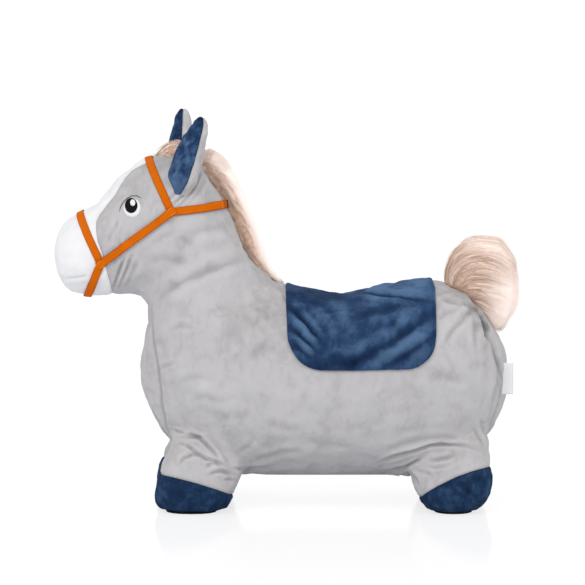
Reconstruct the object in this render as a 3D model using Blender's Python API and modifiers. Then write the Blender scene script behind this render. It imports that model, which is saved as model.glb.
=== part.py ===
# Bouncy ride-on horse: an air bladder in a zipped plush cover, standing on four soft hooves.
# Metres, +Z up. The horse looks along -X and its left side is -Y. The origin is on the floor,
# under the middle of the toy.

import math

import bmesh
import bpy
from mathutils import Matrix, Vector

# Overall sizes
TOY_LENGTH = 0.647
TOY_HEIGHT = 0.547
TRUNK_WIDTH = 0.250
STANCE_WIDTH = 0.164
HOOF_WIDTH = 0.087

# Cloth and air layers
PLUSH = 0.0025
SEAM_GAP = 0.0003
BLADDER_GAP = 0.0008
BLADDER_WALL = 0.0012
SOLE = 0.0020

# Halter, saddle cloth and eyes
STRAP_WIDTH = 0.011
STRAP = 0.0020
SADDLE = 0.0030
SADDLE_CORNER = 0.034
EYE_WIDTH = 0.025
EYE_HEIGHT = 0.026
PUPIL_WIDTH = 0.0165
PUPIL_HEIGHT = 0.0205
STITCHED_EYE = 0.0010

# Ears
EAR_LENGTH = 0.099
EAR_ROOT = 0.020
EAR_WIDTH = 0.050
EAR_DEPTH = 0.038
EAR_SPACING = 0.112
EAR_SWING_DEG = 20

# Hair
MANE_WIDTH = 0.058
TAIL_WIDTH = 0.068

# Zip under the belly
ZIP_TEETH = 36
TOOTH_PITCH = 0.0042
TOOTH = 0.0024
TAPE_WIDTH = 0.012
TAPE = 0.0008
BEAD_WIDTH = 0.0008
ZIP_SEAT = 0.0013
ZIP_HEADROOM = 0.0010
ZIP_SLOT_WIDTH = 0.015
ZIP_SLOT_END = 0.0040
TAPE_END = 0.0100
SLIDER_LENGTH = 0.011
SLIDER_WALL = 0.0011
SLIDER_PLAY = 0.00025
SLIDER_FLARE = 0.0008
STOP_LENGTH = 0.0020
LUG = 0.0010
LUG_LENGTH = 0.0024
PIN_RADIUS = 0.0005
PIN_DROP = 0.0021
EYE_WALL = 0.0008
EYE_PLAY = 0.0004
PULL_LENGTH = 0.0140
PULL_WIDTH = 0.0060
PULL_REST_DEG = 80
PULL = 0.0012

# Air valve, in a well over the zip
WELL_RADIUS = 0.0170
WELL_DEPTH = 0.0160
VALVE_BORE = 0.0050
VALVE_NECK = 0.0085
VALVE_FLANGE = 0.0125
VALVE_LIP = 0.0015
VALVE_LIP_WIDTH = 0.0018
PLUG_LENGTH = 0.0070
PLUG_TAPER = 0.0006
PLUG_PLAY = 0.0003
PLUG_FLANGE = 0.0080
PLUG_KNOB = 0.0035
PLUG_KNOB_LENGTH = 0.0025

# Sewn-in tag, left blank
TAG_LENGTH = 0.044
TAG_WIDTH = 0.0125
TAG = 0.0008

# Faceting and cutting
SECTION_POWER = 2.25
SHARP_DEG = 40
SWEEP_STEPS = 4
LIMB_SIDES = 16
HAIR_SIDES = 12
TURNED_SIDES = 20
OVERRUN = 0.004

# The trunk from rump to nose. Each row is one section: its lowest and highest point (x as a
# share of the length, z as a share of the height), its half-width as a share of the trunk's
# width, and how far out its lower and upper seam lie, as a share of that half-width.
TRUNK_SHARES = (
    (0.474, 0.280, 0.473, 0.383, 0.144, 0.85, 0.85),
    (0.464, 0.241, 0.459, 0.427, 0.248, 0.88, 0.88),
    (0.444, 0.195, 0.429, 0.483, 0.336, 0.75, 0.75),
    (0.407, 0.138, 0.385, 0.545, 0.412, 0.62, 0.62),
    (0.346, 0.095, 0.327, 0.570, 0.462, 0.57, 0.57),
    (0.268, 0.073, 0.262, 0.566, 0.488, 0.54, 0.54),
    (0.182, 0.073, 0.188, 0.548, 0.498, 0.53, 0.53),
    (0.106, 0.073, 0.128, 0.538, 0.500, 0.53, 0.53),
    (0.030, 0.073, 0.074, 0.538, 0.498, 0.53, 0.53),
    (-0.043, 0.073, 0.030, 0.545, 0.492, 0.54, 0.54),
    (-0.113, 0.079, -0.002, 0.558, 0.480, 0.55, 0.56),
    (-0.175, 0.100, -0.024, 0.571, 0.468, 0.56, 0.55),
    (-0.227, 0.136, -0.043, 0.591, 0.448, 0.60, 0.50),
    (-0.268, 0.187, -0.061, 0.617, 0.424, 0.70, 0.43),
    (-0.294, 0.247, -0.076, 0.651, 0.396, 0.78, 0.36),
    (-0.310, 0.303, -0.091, 0.694, 0.368, 0.82, 0.33),
    (-0.313, 0.357, -0.108, 0.746, 0.340, 0.84, 0.32),
    (-0.305, 0.411, -0.130, 0.802, 0.316, 0.84, 0.32),
    (-0.297, 0.460, -0.162, 0.856, 0.298, 0.84, 0.32),
    (-0.295, 0.494, -0.210, 0.890, 0.288, 0.80, 0.33),
    (-0.301, 0.517, -0.255, 0.899, 0.284, 0.70, 0.35),
    (-0.312, 0.532, -0.292, 0.890, 0.280, 0.60, 0.37),
    (-0.327, 0.541, -0.325, 0.869, 0.272, 0.55, 0.39),
    (-0.344, 0.542, -0.357, 0.838, 0.260, 0.50, 0.42),
    (-0.361, 0.542, -0.387, 0.795, 0.248, 0.50, 0.54),
    (-0.379, 0.542, -0.413, 0.759, 0.240, 0.50, 0.62),
    (-0.403, 0.540, -0.437, 0.746, 0.234, 0.50, 0.62),
    (-0.429, 0.540, -0.457, 0.734, 0.228, 0.50, 0.60),
    (-0.452, 0.544, -0.474, 0.719, 0.212, 0.50, 0.60),
    (-0.474, 0.555, -0.487, 0.699, 0.180, 0.50, 0.60),
    (-0.489, 0.581, -0.495, 0.674, 0.120, 0.50, 0.60),
)
RUMP_SHARE = (0.4775, 0.331)
NOSE_SHARE = (-0.4990, 0.630)
BELLY_SHARE = 0.073
SEAM_STEPS = 3
SIDE_STEPS = 6

# Where the trunk's panels meet, as places in the table above
RUMP_SEAM = 1
NECK_SEAM = 13
THROAT_SEAM = 19
POLL_SEAM = 20
MUZZLE_SEAM = 25

# Each leg from sole to trunk: front point and rear point (x share of length, z share of
# height above the sole), then the share of the stance and of the hoof's width.
FRONT_LEG_SHARES = (
    (-0.260, 0.000, -0.145, 0.000, 1.00, 0.77),
    (-0.271, 0.005, -0.130, 0.005, 1.00, 0.90),
    (-0.278, 0.014, -0.121, 0.011, 1.00, 0.97),
    (-0.280, 0.036, -0.117, 0.017, 1.00, 1.00),
    (-0.278, 0.062, -0.115, 0.024, 1.00, 1.00),
    (-0.273, 0.085, -0.114, 0.031, 0.99, 0.97),
    (-0.266, 0.109, -0.108, 0.051, 0.945, 0.955),
    (-0.258, 0.138, -0.097, 0.076, 0.88, 0.93),
    (-0.247, 0.169, -0.084, 0.109, 0.79, 0.87),
    (-0.234, 0.200, -0.074, 0.146, 0.71, 0.79),
    (-0.216, 0.270, -0.068, 0.215, 0.63, 0.69),
)
REAR_LEG_SHARES = (
    (0.315, 0.000, 0.402, 0.000, 1.00, 0.77),
    (0.304, 0.005, 0.414, 0.005, 1.00, 0.90),
    (0.299, 0.009, 0.420, 0.013, 1.00, 0.97),
    (0.291, 0.014, 0.433, 0.033, 1.00, 1.00),
    (0.288, 0.019, 0.442, 0.065, 1.00, 1.00),
    (0.287, 0.025, 0.438, 0.102, 0.99, 0.97),
    (0.277, 0.047, 0.439, 0.126, 0.945, 0.955),
    (0.266, 0.078, 0.437, 0.151, 0.88, 0.93),
    (0.255, 0.111, 0.435, 0.177, 0.79, 0.87),
    (0.247, 0.148, 0.426, 0.202, 0.71, 0.79),
    (0.238, 0.252, 0.416, 0.252, 0.63, 0.69),
)
HOOF_TOP = 5
SOLE_INSET_SHARE = 0.96

# Hair: lower and upper point of each section, then its share of the hair's width
MANE_SHARES = (
    (-0.186, 0.851, -0.180, 0.908, 0.42),
    (-0.173, 0.841, -0.165, 0.914, 0.80),
    (-0.156, 0.820, -0.139, 0.896, 0.98),
    (-0.136, 0.790, -0.115, 0.859, 1.00),
    (-0.119, 0.753, -0.097, 0.813, 1.00),
    (-0.106, 0.717, -0.083, 0.772, 0.98),
    (-0.093, 0.681, -0.068, 0.723, 0.93),
    (-0.080, 0.645, -0.054, 0.669, 0.84),
    (-0.067, 0.604, -0.038, 0.625, 0.70),
    (-0.052, 0.581, -0.022, 0.594, 0.50),
    (-0.037, 0.563, -0.009, 0.573, 0.30),
)
MANE_END_SHARES = ((-0.192, 0.882), (-0.004, 0.563))
FORELOCK_SHARES = (
    (-0.201, 0.867, -0.203, 0.918, 0.62),
    (-0.221, 0.875, -0.225, 0.932, 0.83),
    (-0.242, 0.882, -0.251, 0.925, 0.88),
    (-0.261, 0.882, -0.268, 0.911, 0.72),
    (-0.273, 0.880, -0.276, 0.901, 0.40),
)
FORELOCK_END_SHARES = ((-0.197, 0.893), (-0.279, 0.890))
TAIL_SHARES = (
    (0.385, 0.505, 0.338, 0.552, 0.55),
    (0.395, 0.506, 0.341, 0.578, 0.66),
    (0.403, 0.508, 0.346, 0.612, 0.80),
    (0.411, 0.503, 0.362, 0.652, 0.92),
    (0.418, 0.496, 0.388, 0.684, 1.00),
    (0.425, 0.487, 0.420, 0.691, 1.00),
    (0.431, 0.477, 0.465, 0.683, 1.00),
    (0.437, 0.467, 0.495, 0.632, 0.97),
    (0.442, 0.458, 0.501, 0.575, 0.90),
    (0.447, 0.450, 0.502, 0.537, 0.78),
    (0.452, 0.444, 0.498, 0.507, 0.56),
    (0.458, 0.440, 0.484, 0.477, 0.30),
)
TAIL_END_SHARES = ((0.361, 0.525), (0.468, 0.452))
TAIL_HINGE_SHARE = (0.346, 0.566)
TAIL_LIFT_DEG = 35

# Ears: share along the ear, share of its width, share of its depth
EAR_SHARES = (
    (0.00, 0.48, 0.40),
    (0.10, 0.78, 0.72),
    (0.26, 1.00, 1.00),
    (0.48, 0.96, 0.94),
    (0.65, 0.84, 0.82),
    (0.80, 0.67, 0.64),
    (0.91, 0.47, 0.45),
    (0.975, 0.24, 0.25),
)
EAR_PLACE_SHARE = (-0.2262, 0.824)
EAR_SIDES = 8
EAR_POSES = {"left": (17.0, -62.0), "right": (0.0, -78.0)}

# Halter lines over the head, start and end of each strap's middle
NOSE_TOP_SHARE = (-0.4405, 0.737)
BIT_SHARE = (-0.4026, 0.626)
CHIN_SHARE = (-0.4275, 0.540)
TEMPLE_SHARE = (-0.2489, 0.764)
BROW_SHARE = (-0.2944, 0.887)
CROWN_SHARE = (-0.1360, 0.778)

EYE_SHARE = (-0.333, 0.777)
SADDLE_OUTLINE_SHARES = ((-0.002, 0.66), (0.010, 0.365), (0.317, 0.371), (0.317, 0.560), (0.286, 0.66))
ZIP_PLACE_SHARE = 0.108
VALVE_PLACE_SHARE = 0.108
TAG_PLACE_SHARE = (0.469, 0.332, -0.220)

# Zip teeth in shares of their pitch: half-widths of neck, head and tip, then how far the
# bead's edge lies from the middle of the zip, and how far neck, shoulder and tip reach past it
NECK_SHARE = 0.12
HEAD_SHARE = 0.27
TIP_WIDTH_SHARE = 0.19
BEAD_EDGE_SHARE = 0.62
NECK_END_SHARE = 0.07
SHOULDER_SHARE = 0.15
TIP_SHARE = 0.38
STOP_INSIDE_SHARE = 0.35
DIVIDER_SHARE = 0.60

ACROSS = Vector((0, 1, 0))
UP = Vector((0, 0, 1))

# Materials: colour as shown on screen, roughness, metallic
FINISHES = {
    "grey_plush": ((195, 193, 194), 0.95, 0.0),
    "white_plush": ((243, 243, 243), 0.95, 0.0),
    "blue_velvet": ((52, 76, 110), 0.85, 0.0),
    "orange_webbing": ((215, 108, 22), 0.6, 0.0),
    "cream_hair": ((222, 199, 187), 0.8, 0.0),
    "black_thread": ((18, 18, 20), 0.5, 0.0),
    "white_thread": ((245, 245, 245), 0.6, 0.0),
    "sole_grip": ((40, 44, 52), 0.8, 0.0),
    "bladder_vinyl": ((120, 140, 160), 0.35, 0.0),
    "valve_rubber": ((225, 225, 220), 0.5, 0.0),
    "zip_plastic": ((150, 152, 156), 0.4, 0.0),
    "zip_metal": ((175, 175, 178), 0.3, 1.0),
    "tag_ribbon": ((240, 240, 240), 0.6, 0.0),
}


def clear_scene():
    for thing in list(bpy.data.objects):
        bpy.data.objects.remove(thing, do_unlink=True)


def new_collection(name):
    collection = bpy.data.collections.new(name)
    bpy.context.scene.collection.children.link(collection)
    return collection


def linear(channel):
    value = channel / 255
    return value / 12.92 if value <= 0.04045 else ((value + 0.055) / 1.055) ** 2.4


def make_material(name):
    colour, roughness, metallic = FINISHES[name]
    material = bpy.data.materials.new(name)
    material.use_nodes = True
    shader = material.node_tree.nodes["Principled BSDF"]
    shader.inputs["Base Color"].default_value = (*[linear(c) for c in colour], 1)
    shader.inputs["Roughness"].default_value = roughness
    shader.inputs["Metallic"].default_value = metallic
    return material


def place(x_share, z_share, y=0):
    return Vector((x_share * TOY_LENGTH, y, z_share * TOY_HEIGHT))


def mesh_from(name, points, faces, origin=Vector()):
    mesh = bpy.data.meshes.new(name)
    mesh.from_pydata([p - origin for p in points], [], faces)
    return mesh


def add_part(name, mesh, finish, body, origin=Vector()):
    part = bpy.data.objects.new(name, mesh)
    part.location = origin - body.location
    part.parent = body
    mesh.materials.append(MATERIALS[finish])
    mesh.shade_smooth()
    mesh.set_sharp_from_angle(angle=math.radians(SHARP_DEG))
    HORSE.objects.link(part)
    return part


def add_cutter(name, mesh, matrix=Matrix()):
    cutter = bpy.data.objects.new(name, mesh)
    cutter.matrix_world = matrix
    cutter.hide_render = True
    cutter.display_type = "WIRE"
    CUTTERS.objects.link(cutter)
    return cutter


def boolean(target, operation, *others):
    for other in others:
        step = target.modifiers.new(operation.title() + " " + other.name, "BOOLEAN")
        step.operation = operation
        step.solver = "EXACT"
        step.object = other


def box_mesh(name, low, high, matrix=Matrix()):
    shape = bmesh.new()
    bmesh.ops.create_cube(shape, size=1)
    size, middle = high - low, (high + low) / 2
    scale = Matrix.Diagonal((*size, 1))
    bmesh.ops.transform(shape, matrix=matrix @ Matrix.Translation(middle) @ scale, verts=shape.verts)
    return finish_mesh(name, shape)


def rod_mesh(name, radius, low, high, matrix=Matrix(), sides=LIMB_SIDES):
    shape = bmesh.new()
    bmesh.ops.create_cone(shape, cap_ends=True, segments=sides, radius1=radius, radius2=radius,
                          depth=high - low)
    bmesh.ops.transform(shape, matrix=matrix @ Matrix.Translation(UP * (low + high) / 2), verts=shape.verts)
    return finish_mesh(name, shape)


def prism_mesh(name, outline, low, high, matrix=Matrix(), corner=0, rounded=(), steps=5):
    # The outline lies in the matrix's XY plane and is drawn along its Z axis.
    shape = bmesh.new()
    points = [shape.verts.new((x, y, low)) for x, y in outline]
    base = shape.faces.new(points)
    base.normal_update()
    grown = bmesh.ops.extrude_face_region(shape, geom=[base])
    top = [v for v in grown["geom"] if isinstance(v, bmesh.types.BMVert)]
    bmesh.ops.translate(shape, verts=top, vec=UP * (high - low))
    bmesh.ops.recalc_face_normals(shape, faces=shape.faces)
    if corner:
        shape.verts.ensure_lookup_table()
        picked = []
        for edge in shape.edges:
            a, b = edge.verts
            if abs(a.co.z - b.co.z) > (high - low) / 2:
                index = min(range(len(outline)), key=lambda i: (Vector(outline[i]) - a.co.xy).length)
                if index in rounded:
                    picked.append(edge)
        bmesh.ops.bevel(shape, geom=picked, offset=corner, segments=steps, profile=0.5, affect="EDGES")
    bmesh.ops.transform(shape, matrix=matrix, verts=shape.verts)
    return finish_mesh(name, shape)


def finish_mesh(name, shape):
    mesh = bpy.data.meshes.new(name)
    shape.to_mesh(mesh)
    shape.free()
    return mesh


def add_turned(name, profile, centre, finish, body):
    # A profile of (radius, height) turned about the vertical through centre. It closes on
    # itself unless it ends on the axis.
    outline = bpy.data.meshes.new(name)
    count = len(profile)
    edges = [(i, (i + 1) % count) for i in range(count if profile[-1][0] else count - 1)]
    outline.from_pydata([(radius, 0, height) for radius, height in profile], edges, [])
    part = add_part(name, outline, finish, body)
    part.location = centre - body.location
    turn = part.modifiers.new("Turn", "SCREW")
    turn.axis = "Z"
    turn.steps = turn.render_steps = TURNED_SIDES
    turn.use_merge_vertices = True
    turn.merge_threshold = SEAM_GAP / 10
    return part


def swell(value):
    return math.copysign(abs(value) ** (2 / SECTION_POWER), value)


def ring(low, high, side, angles):
    # A soft section between two points, from the low point round over side to the high one.
    middle, axis = (low + high) / 2, (high - low) / 2
    return [middle - axis * swell(math.cos(a)) + side * swell(math.sin(a)) for a in angles]


def even_angles(count):
    return [math.tau * i / count for i in range(count)]


def spread(start, end, steps):
    return [start + (end - start) * i / steps for i in range(steps)]


def seam_angle(share):
    return math.asin(share ** (SECTION_POWER / 2))


class Loft:
    # A closed soft form: rings of equal count, with a point at each end. Its surface can be
    # taken whole at any offset, or as sewn panels of a given thickness.

    def __init__(self, rings, first, last):
        self.rings = rings
        self.sides = len(rings[0])
        self.points = [p for r in rings for p in r] + [first, last]
        self.first = len(self.points) - 2
        self.last = len(self.points) - 1
        self.turned = False
        self.turned = self.volume(self.all_faces()) < 0
        self.normals = self.point_normals()

    def at(self, row, column):
        return row * self.sides + column % self.sides

    def triangle(self, a, b, c):
        return (a, c, b) if self.turned else (a, b, c)

    def band(self, start, end, low=0, high=None):
        faces = []
        for row in range(start, end):
            for column in range(low, self.sides if high is None else high):
                a, b = self.at(row, column), self.at(row, column + 1)
                c, d = self.at(row + 1, column + 1), self.at(row + 1, column)
                if column % self.sides < self.sides / 2:
                    faces += [self.triangle(a, b, c), self.triangle(a, c, d)]
                else:
                    faces += [self.triangle(a, b, d), self.triangle(b, c, d)]
        return faces

    def first_cap(self):
        return [self.triangle(self.first, self.at(0, i + 1), self.at(0, i)) for i in range(self.sides)]

    def last_cap(self):
        row = len(self.rings) - 1
        return [self.triangle(self.last, self.at(row, i), self.at(row, i + 1)) for i in range(self.sides)]

    def all_faces(self):
        return self.first_cap() + self.band(0, len(self.rings) - 1) + self.last_cap()

    def volume(self, faces):
        return sum(self.points[a].dot(self.points[b].cross(self.points[c])) for a, b, c in faces) / 6

    def face_normal(self, face):
        a, b, c = (self.points[i] for i in face)
        return (b - a).cross(c - a)

    def point_normals(self):
        normals = [Vector() for _ in self.points]
        for face in self.all_faces():
            normal = self.face_normal(face)
            for index in face:
                normals[index] += normal
        return [n.normalized() for n in normals]

    def at_offset(self, offset):
        return [p + n * offset for p, n in zip(self.points, self.normals)]

    def solid(self, name, offset=0, origin=Vector()):
        return mesh_from(name, self.at_offset(offset), self.all_faces(), origin)

    def coarser(self):
        rings = [r[::2] for r in self.rings]
        return Loft(rings, self.points[self.first], self.points[self.last])

    def panel(self, name, faces, thickness):
        # Both skins of the panel, joined round its rim, which stands half a seam gap back.
        edges = {}
        for face in faces:
            for a, b in zip(face, face[1:] + face[:1]):
                edges[a, b] = face
        rim = [edge for edge in edges if edge[::-1] not in edges]
        shift = {index: Vector() for face in faces for index in face}
        for a, b in rim:
            inward = self.face_normal(edges[a, b]).cross(self.points[b] - self.points[a]).normalized()
            shift[a] += inward
            shift[b] += inward
        order = {index: place for place, index in enumerate(shift)}
        count = len(order)
        outer = [self.points[i] + shift[i] * SEAM_GAP / 2 for i in order]
        inner = [p - self.normals[i] * thickness for p, i in zip(outer, order)]
        outside = [tuple(order[i] for i in face) for face in faces]
        inside = [tuple(order[i] + count for i in face[::-1]) for face in faces]
        walls = []
        for a, b in rim:
            a, b = order[a], order[b]
            walls += [(b, a, a + count), (b, a + count, b + count)]
        return mesh_from(name, outer + inner, outside + inside + walls)


def make_trunk():
    rings = []
    for low_x, low_z, high_x, high_z, width, low_seam, high_seam in TRUNK_SHARES:
        low, high = seam_angle(low_seam), math.pi - seam_angle(high_seam)
        half = spread(0, low, SEAM_STEPS) + spread(low, high, SIDE_STEPS) + spread(high, math.pi, SEAM_STEPS)
        angles = half + [math.pi] + [math.tau - a for a in half[:0:-1]]
        side = -ACROSS * width * TRUNK_WIDTH
        rings.append(ring(place(low_x, low_z), place(high_x, high_z), side, angles))
    return Loft(rings, place(*RUMP_SHARE), place(*NOSE_SHARE))


def make_leg(shares, side):
    base = SOLE + SEAM_GAP
    rings = []
    for front_x, front_z, rear_x, rear_z, centre, width in shares:
        y = side * centre * STANCE_WIDTH / 2
        front = place(front_x, front_z, y) + UP * base
        rear = place(rear_x, rear_z, y) + UP * base
        rings.append(ring(front, rear, ACROSS * width * HOOF_WIDTH / 2, even_angles(LIMB_SIDES)))
    first = sum(rings[0], Vector()) / LIMB_SIDES
    last = sum(rings[-1], Vector()) / LIMB_SIDES
    return Loft(rings, first, last)


def make_hair(shares, ends, width):
    rings = []
    for low_x, low_z, high_x, high_z, share in shares:
        side = ACROSS * share * width / 2
        rings.append(ring(place(low_x, low_z), place(high_x, high_z), side, even_angles(HAIR_SIDES)))
    return Loft(rings, place(*ends[0]), place(*ends[1]))


def side_sign(side):
    return -1 if side == "left" else 1


def add_cover(trunk, legs, body):
    low, high, over = SEAM_STEPS, SEAM_STEPS + SIDE_STEPS, SEAM_STEPS * 3 + SIDE_STEPS
    around = trunk.sides
    last = len(TRUNK_SHARES) - 1
    plans = {
        "body_side_left": ("grey_plush", trunk.band(RUMP_SEAM, NECK_SEAM, low, high)),
        "body_side_right": ("grey_plush", trunk.band(RUMP_SEAM, NECK_SEAM, over, around - low)),
        "back_gusset": ("grey_plush", trunk.first_cap() + trunk.band(0, RUMP_SEAM)
                        + trunk.band(RUMP_SEAM, NECK_SEAM, high, over)),
        "belly_gusset": ("grey_plush", trunk.band(RUMP_SEAM, NECK_SEAM, around - low, around + low)),
        "chest_gusset": ("grey_plush", trunk.band(NECK_SEAM, THROAT_SEAM, around - low, around + low)),
        "neck_side_left": ("grey_plush", trunk.band(NECK_SEAM, THROAT_SEAM, low, high)),
        "neck_side_right": ("grey_plush", trunk.band(NECK_SEAM, THROAT_SEAM, over, around - low)),
        "crest_gusset": ("grey_plush", trunk.band(NECK_SEAM, POLL_SEAM, high, over)),
        "face_left": ("grey_plush", trunk.band(THROAT_SEAM, MUZZLE_SEAM, 0, high)),
        "face_right": ("grey_plush", trunk.band(THROAT_SEAM, MUZZLE_SEAM, over, around)),
        "muzzle": ("white_plush", trunk.band(POLL_SEAM, MUZZLE_SEAM, high, over)
                   + trunk.band(MUZZLE_SEAM, last) + trunk.last_cap()),
    }
    panels = {name: add_part(name, trunk.panel(name, faces, PLUSH), finish, body)
              for name, (finish, faces) in plans.items()}
    for name in ("body_side_left", "body_side_right", "belly_gusset"):
        for leg_name, leg in legs.items():
            if name == "belly_gusset" or name.endswith(leg_name.split("_")[1]):
                boolean(panels[name], "DIFFERENCE", leg["opening"])
    return panels


def add_leg(name, shares, side, trunk_cutter, body):
    leg = make_leg(shares, side_sign(side))
    top = len(shares) - 1
    hoof = leg.panel("hoof_" + name, leg.first_cap() + leg.band(0, HOOF_TOP), PLUSH)
    add_part("hoof_" + name, hoof, "blue_velvet", body)
    cover = leg.panel("leg_" + name, leg.band(HOOF_TOP, top), PLUSH)
    boolean(add_part("leg_" + name, cover, "grey_plush", body), "DIFFERENCE", trunk_cutter)
    centre = leg.points[leg.first].copy()
    centre.z = 0
    rim = [centre + (p - leg.points[leg.first]) * SOLE_INSET_SHARE for p in leg.rings[0]]
    sole = Loft([rim, [p + UP * SOLE for p in rim]], centre, centre + UP * SOLE)
    add_part("sole_" + name, sole.solid("sole_" + name), "sole_grip", body)
    opening = add_cutter("leg_opening_" + name, leg.solid("leg_opening_" + name, -PLUSH))
    return {"loft": leg, "opening": opening}


def strap_box(name, start, end, y_low, y_high, before=0, after=0, grow=0):
    # A slab across the head along a line in side view, as wide as the strap.
    start, end = place(*start), place(*end)
    along = (end - start).normalized()
    matrix = Matrix.Translation(start) @ Matrix((along, ACROSS, along.cross(ACROSS))).transposed().to_4x4()
    half = STRAP_WIDTH / 2 + grow
    return box_mesh(name, Vector((-before - grow, y_low - grow, -half)),
                    Vector(((end - start).length + after + grow, y_high + grow, half)), matrix)


def layer(name, mesh, finish, thickness, body, removed=()):
    # Keeps what the mesh shares with a cloth layer of this thickness, laid on the trunk.
    part = add_part(name, mesh, finish, body)
    boolean(part, "INTERSECT", TRUNK_AT[SEAM_GAP + thickness])
    boolean(part, "DIFFERENCE", TRUNK_AT[SEAM_GAP], *removed)
    return part


def add_halter(body):
    half, wide, reach = STRAP_WIDTH / 2, TRUNK_WIDTH / 2, TRUNK_WIDTH / 10
    lines = {
        "nose_band": (NOSE_TOP_SHARE, BIT_SHARE, -wide, wide, reach, half),
        "chin_strap": (BIT_SHARE, CHIN_SHARE, -wide, wide, 0, reach),
        "brow_band": (TEMPLE_SHARE, BROW_SHARE, -wide, wide, half, reach),
        "cheek_strap_left": (BIT_SHARE, TEMPLE_SHARE, -wide, 0, 0, 0),
        "cheek_strap_right": (BIT_SHARE, TEMPLE_SHARE, 0, wide, 0, 0),
        "crown_strap_left": (TEMPLE_SHARE, CROWN_SHARE, -wide, 0, 0, 0),
        "crown_strap_right": (TEMPLE_SHARE, CROWN_SHARE, 0, wide, 0, 0),
    }
    over = {"chin_strap": ["nose_band"], "cheek_strap": ["nose_band", "chin_strap", "brow_band"],
            "crown_strap": ["brow_band"]}
    laps = {name: add_cutter("lap_" + name, strap_box("lap_" + name, *lines[name], grow=SEAM_GAP))
            for name in ("nose_band", "chin_strap", "brow_band")}
    for name, line in lines.items():
        kind = name.rsplit("_", 1)[0] if name.endswith(("left", "right")) else name
        removed = [laps[other] for other in over.get(kind, [])]
        layer(name, strap_box(name, *line), "orange_webbing", STRAP, body, removed)


def oval_mesh(name, width, height, side, grow=0):
    centre = place(*EYE_SHARE)
    turn = Matrix.Rotation(math.radians(90), 4, "X")
    stretch = Matrix.Diagonal((width / 2 + grow, height / 2 + grow, 1, 1))
    low, high = sorted((0, -side * TRUNK_WIDTH / 2))
    return rod_mesh(name, 1, low, high, Matrix.Translation(centre) @ turn @ stretch)


def add_eye(side, body):
    sign = side_sign(side)
    hole_mesh = oval_mesh("pupil_hole_" + side, PUPIL_WIDTH, PUPIL_HEIGHT, sign, SEAM_GAP)
    hole = add_cutter("pupil_hole_" + side, hole_mesh)
    white = oval_mesh("eye_white_" + side, EYE_WIDTH, EYE_HEIGHT, sign)
    layer("eye_white_" + side, white, "white_thread", STITCHED_EYE, body, [hole])
    pupil = oval_mesh("eye_pupil_" + side, PUPIL_WIDTH, PUPIL_HEIGHT, sign)
    layer("eye_pupil_" + side, pupil, "black_thread", STITCHED_EYE, body)


def add_saddle(body):
    outline = [(x * TOY_LENGTH, z * TOY_HEIGHT) for x, z in SADDLE_OUTLINE_SHARES]
    upright = Matrix.Rotation(math.radians(90), 4, "X")
    mesh = prism_mesh("saddle_cloth", outline, -TRUNK_WIDTH, TRUNK_WIDTH, upright, SADDLE_CORNER, (1, 2))
    layer("saddle_cloth", mesh, "blue_velvet", SADDLE, body)


def ear_frame(side):
    back, turn = EAR_POSES[side]
    hinge = place(*EAR_PLACE_SHARE, side_sign(side) * EAR_SPACING / 2)
    return hinge, (Matrix.Translation(hinge) @ Matrix.Rotation(math.radians(back), 4, "Y")
                   @ Matrix.Rotation(math.radians(turn), 4, "Z"))


def ear_half(face, frame):
    # One half of the ear's leaf: flat in the middle, puffed outside. The front half faces -Y.
    reach = EAR_LENGTH + EAR_ROOT
    angles = spread(0, math.pi, EAR_SIDES) + [math.pi]
    rings = []
    for along, width, depth in EAR_SHARES:
        rings.append([frame @ Vector((math.cos(a) * width * EAR_WIDTH / 2,
                                      face * (SEAM_GAP / 2 + math.sin(a) * depth * EAR_DEPTH / 2),
                                      along * reach - EAR_ROOT)) for a in angles])
    middle = face * (SEAM_GAP / 2 + EAR_DEPTH / 8)
    root = frame @ Vector((0, middle, -EAR_ROOT))
    tip = frame @ Vector((0, face * SEAM_GAP, EAR_LENGTH))
    return Loft(rings, root, tip)


def swept_cutters(name, hinge, first_deg, last_deg):
    # The trunk as the moving piece meets it over its swing about the hinge's Y axis.
    clear = TRUNK.solid(name, SEAM_GAP)
    cutters = []
    for step in range(SWEEP_STEPS + 1):
        angle = math.radians(first_deg + (last_deg - first_deg) * step / SWEEP_STEPS)
        swing = Matrix.Rotation(-angle, 4, "Y")
        matrix = Matrix.Translation(hinge) @ swing @ Matrix.Translation(-hinge)
        cutters.append(add_cutter("%s_%d" % (name, step), clear, matrix))
    return cutters


def add_ear(side):
    hinge, frame = ear_frame(side)
    body = add_body("ear_" + side, hinge)
    sweeps = swept_cutters("head_swept_" + side, hinge, -EAR_SWING_DEG, EAR_SWING_DEG)
    for name, face, finish in (("ear_lining_", -1, "blue_velvet"), ("ear_back_", 1, "grey_plush")):
        mesh = ear_half(face, frame).solid(name + side, origin=hinge)
        boolean(add_part(name + side, mesh, finish, body, hinge), "DIFFERENCE", *sweeps)


def add_hair(body):
    for name, shares, ends in (("mane", MANE_SHARES, MANE_END_SHARES),
                               ("forelock", FORELOCK_SHARES, FORELOCK_END_SHARES)):
        mesh = make_hair(shares, ends, MANE_WIDTH).solid(name)
        boolean(add_part(name, mesh, "cream_hair", body), "DIFFERENCE", TRUNK_AT[SEAM_GAP])


def add_tail():
    hinge = place(*TAIL_HINGE_SHARE)
    body = add_body("tail_root", hinge)
    mesh = make_hair(TAIL_SHARES, TAIL_END_SHARES, TAIL_WIDTH).solid("tail", origin=hinge)
    sweeps = swept_cutters("rump_swept", hinge, 0, -TAIL_LIFT_DEG)
    boolean(add_part("tail", mesh, "cream_hair", body, hinge), "DIFFERENCE", *sweeps)


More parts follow.
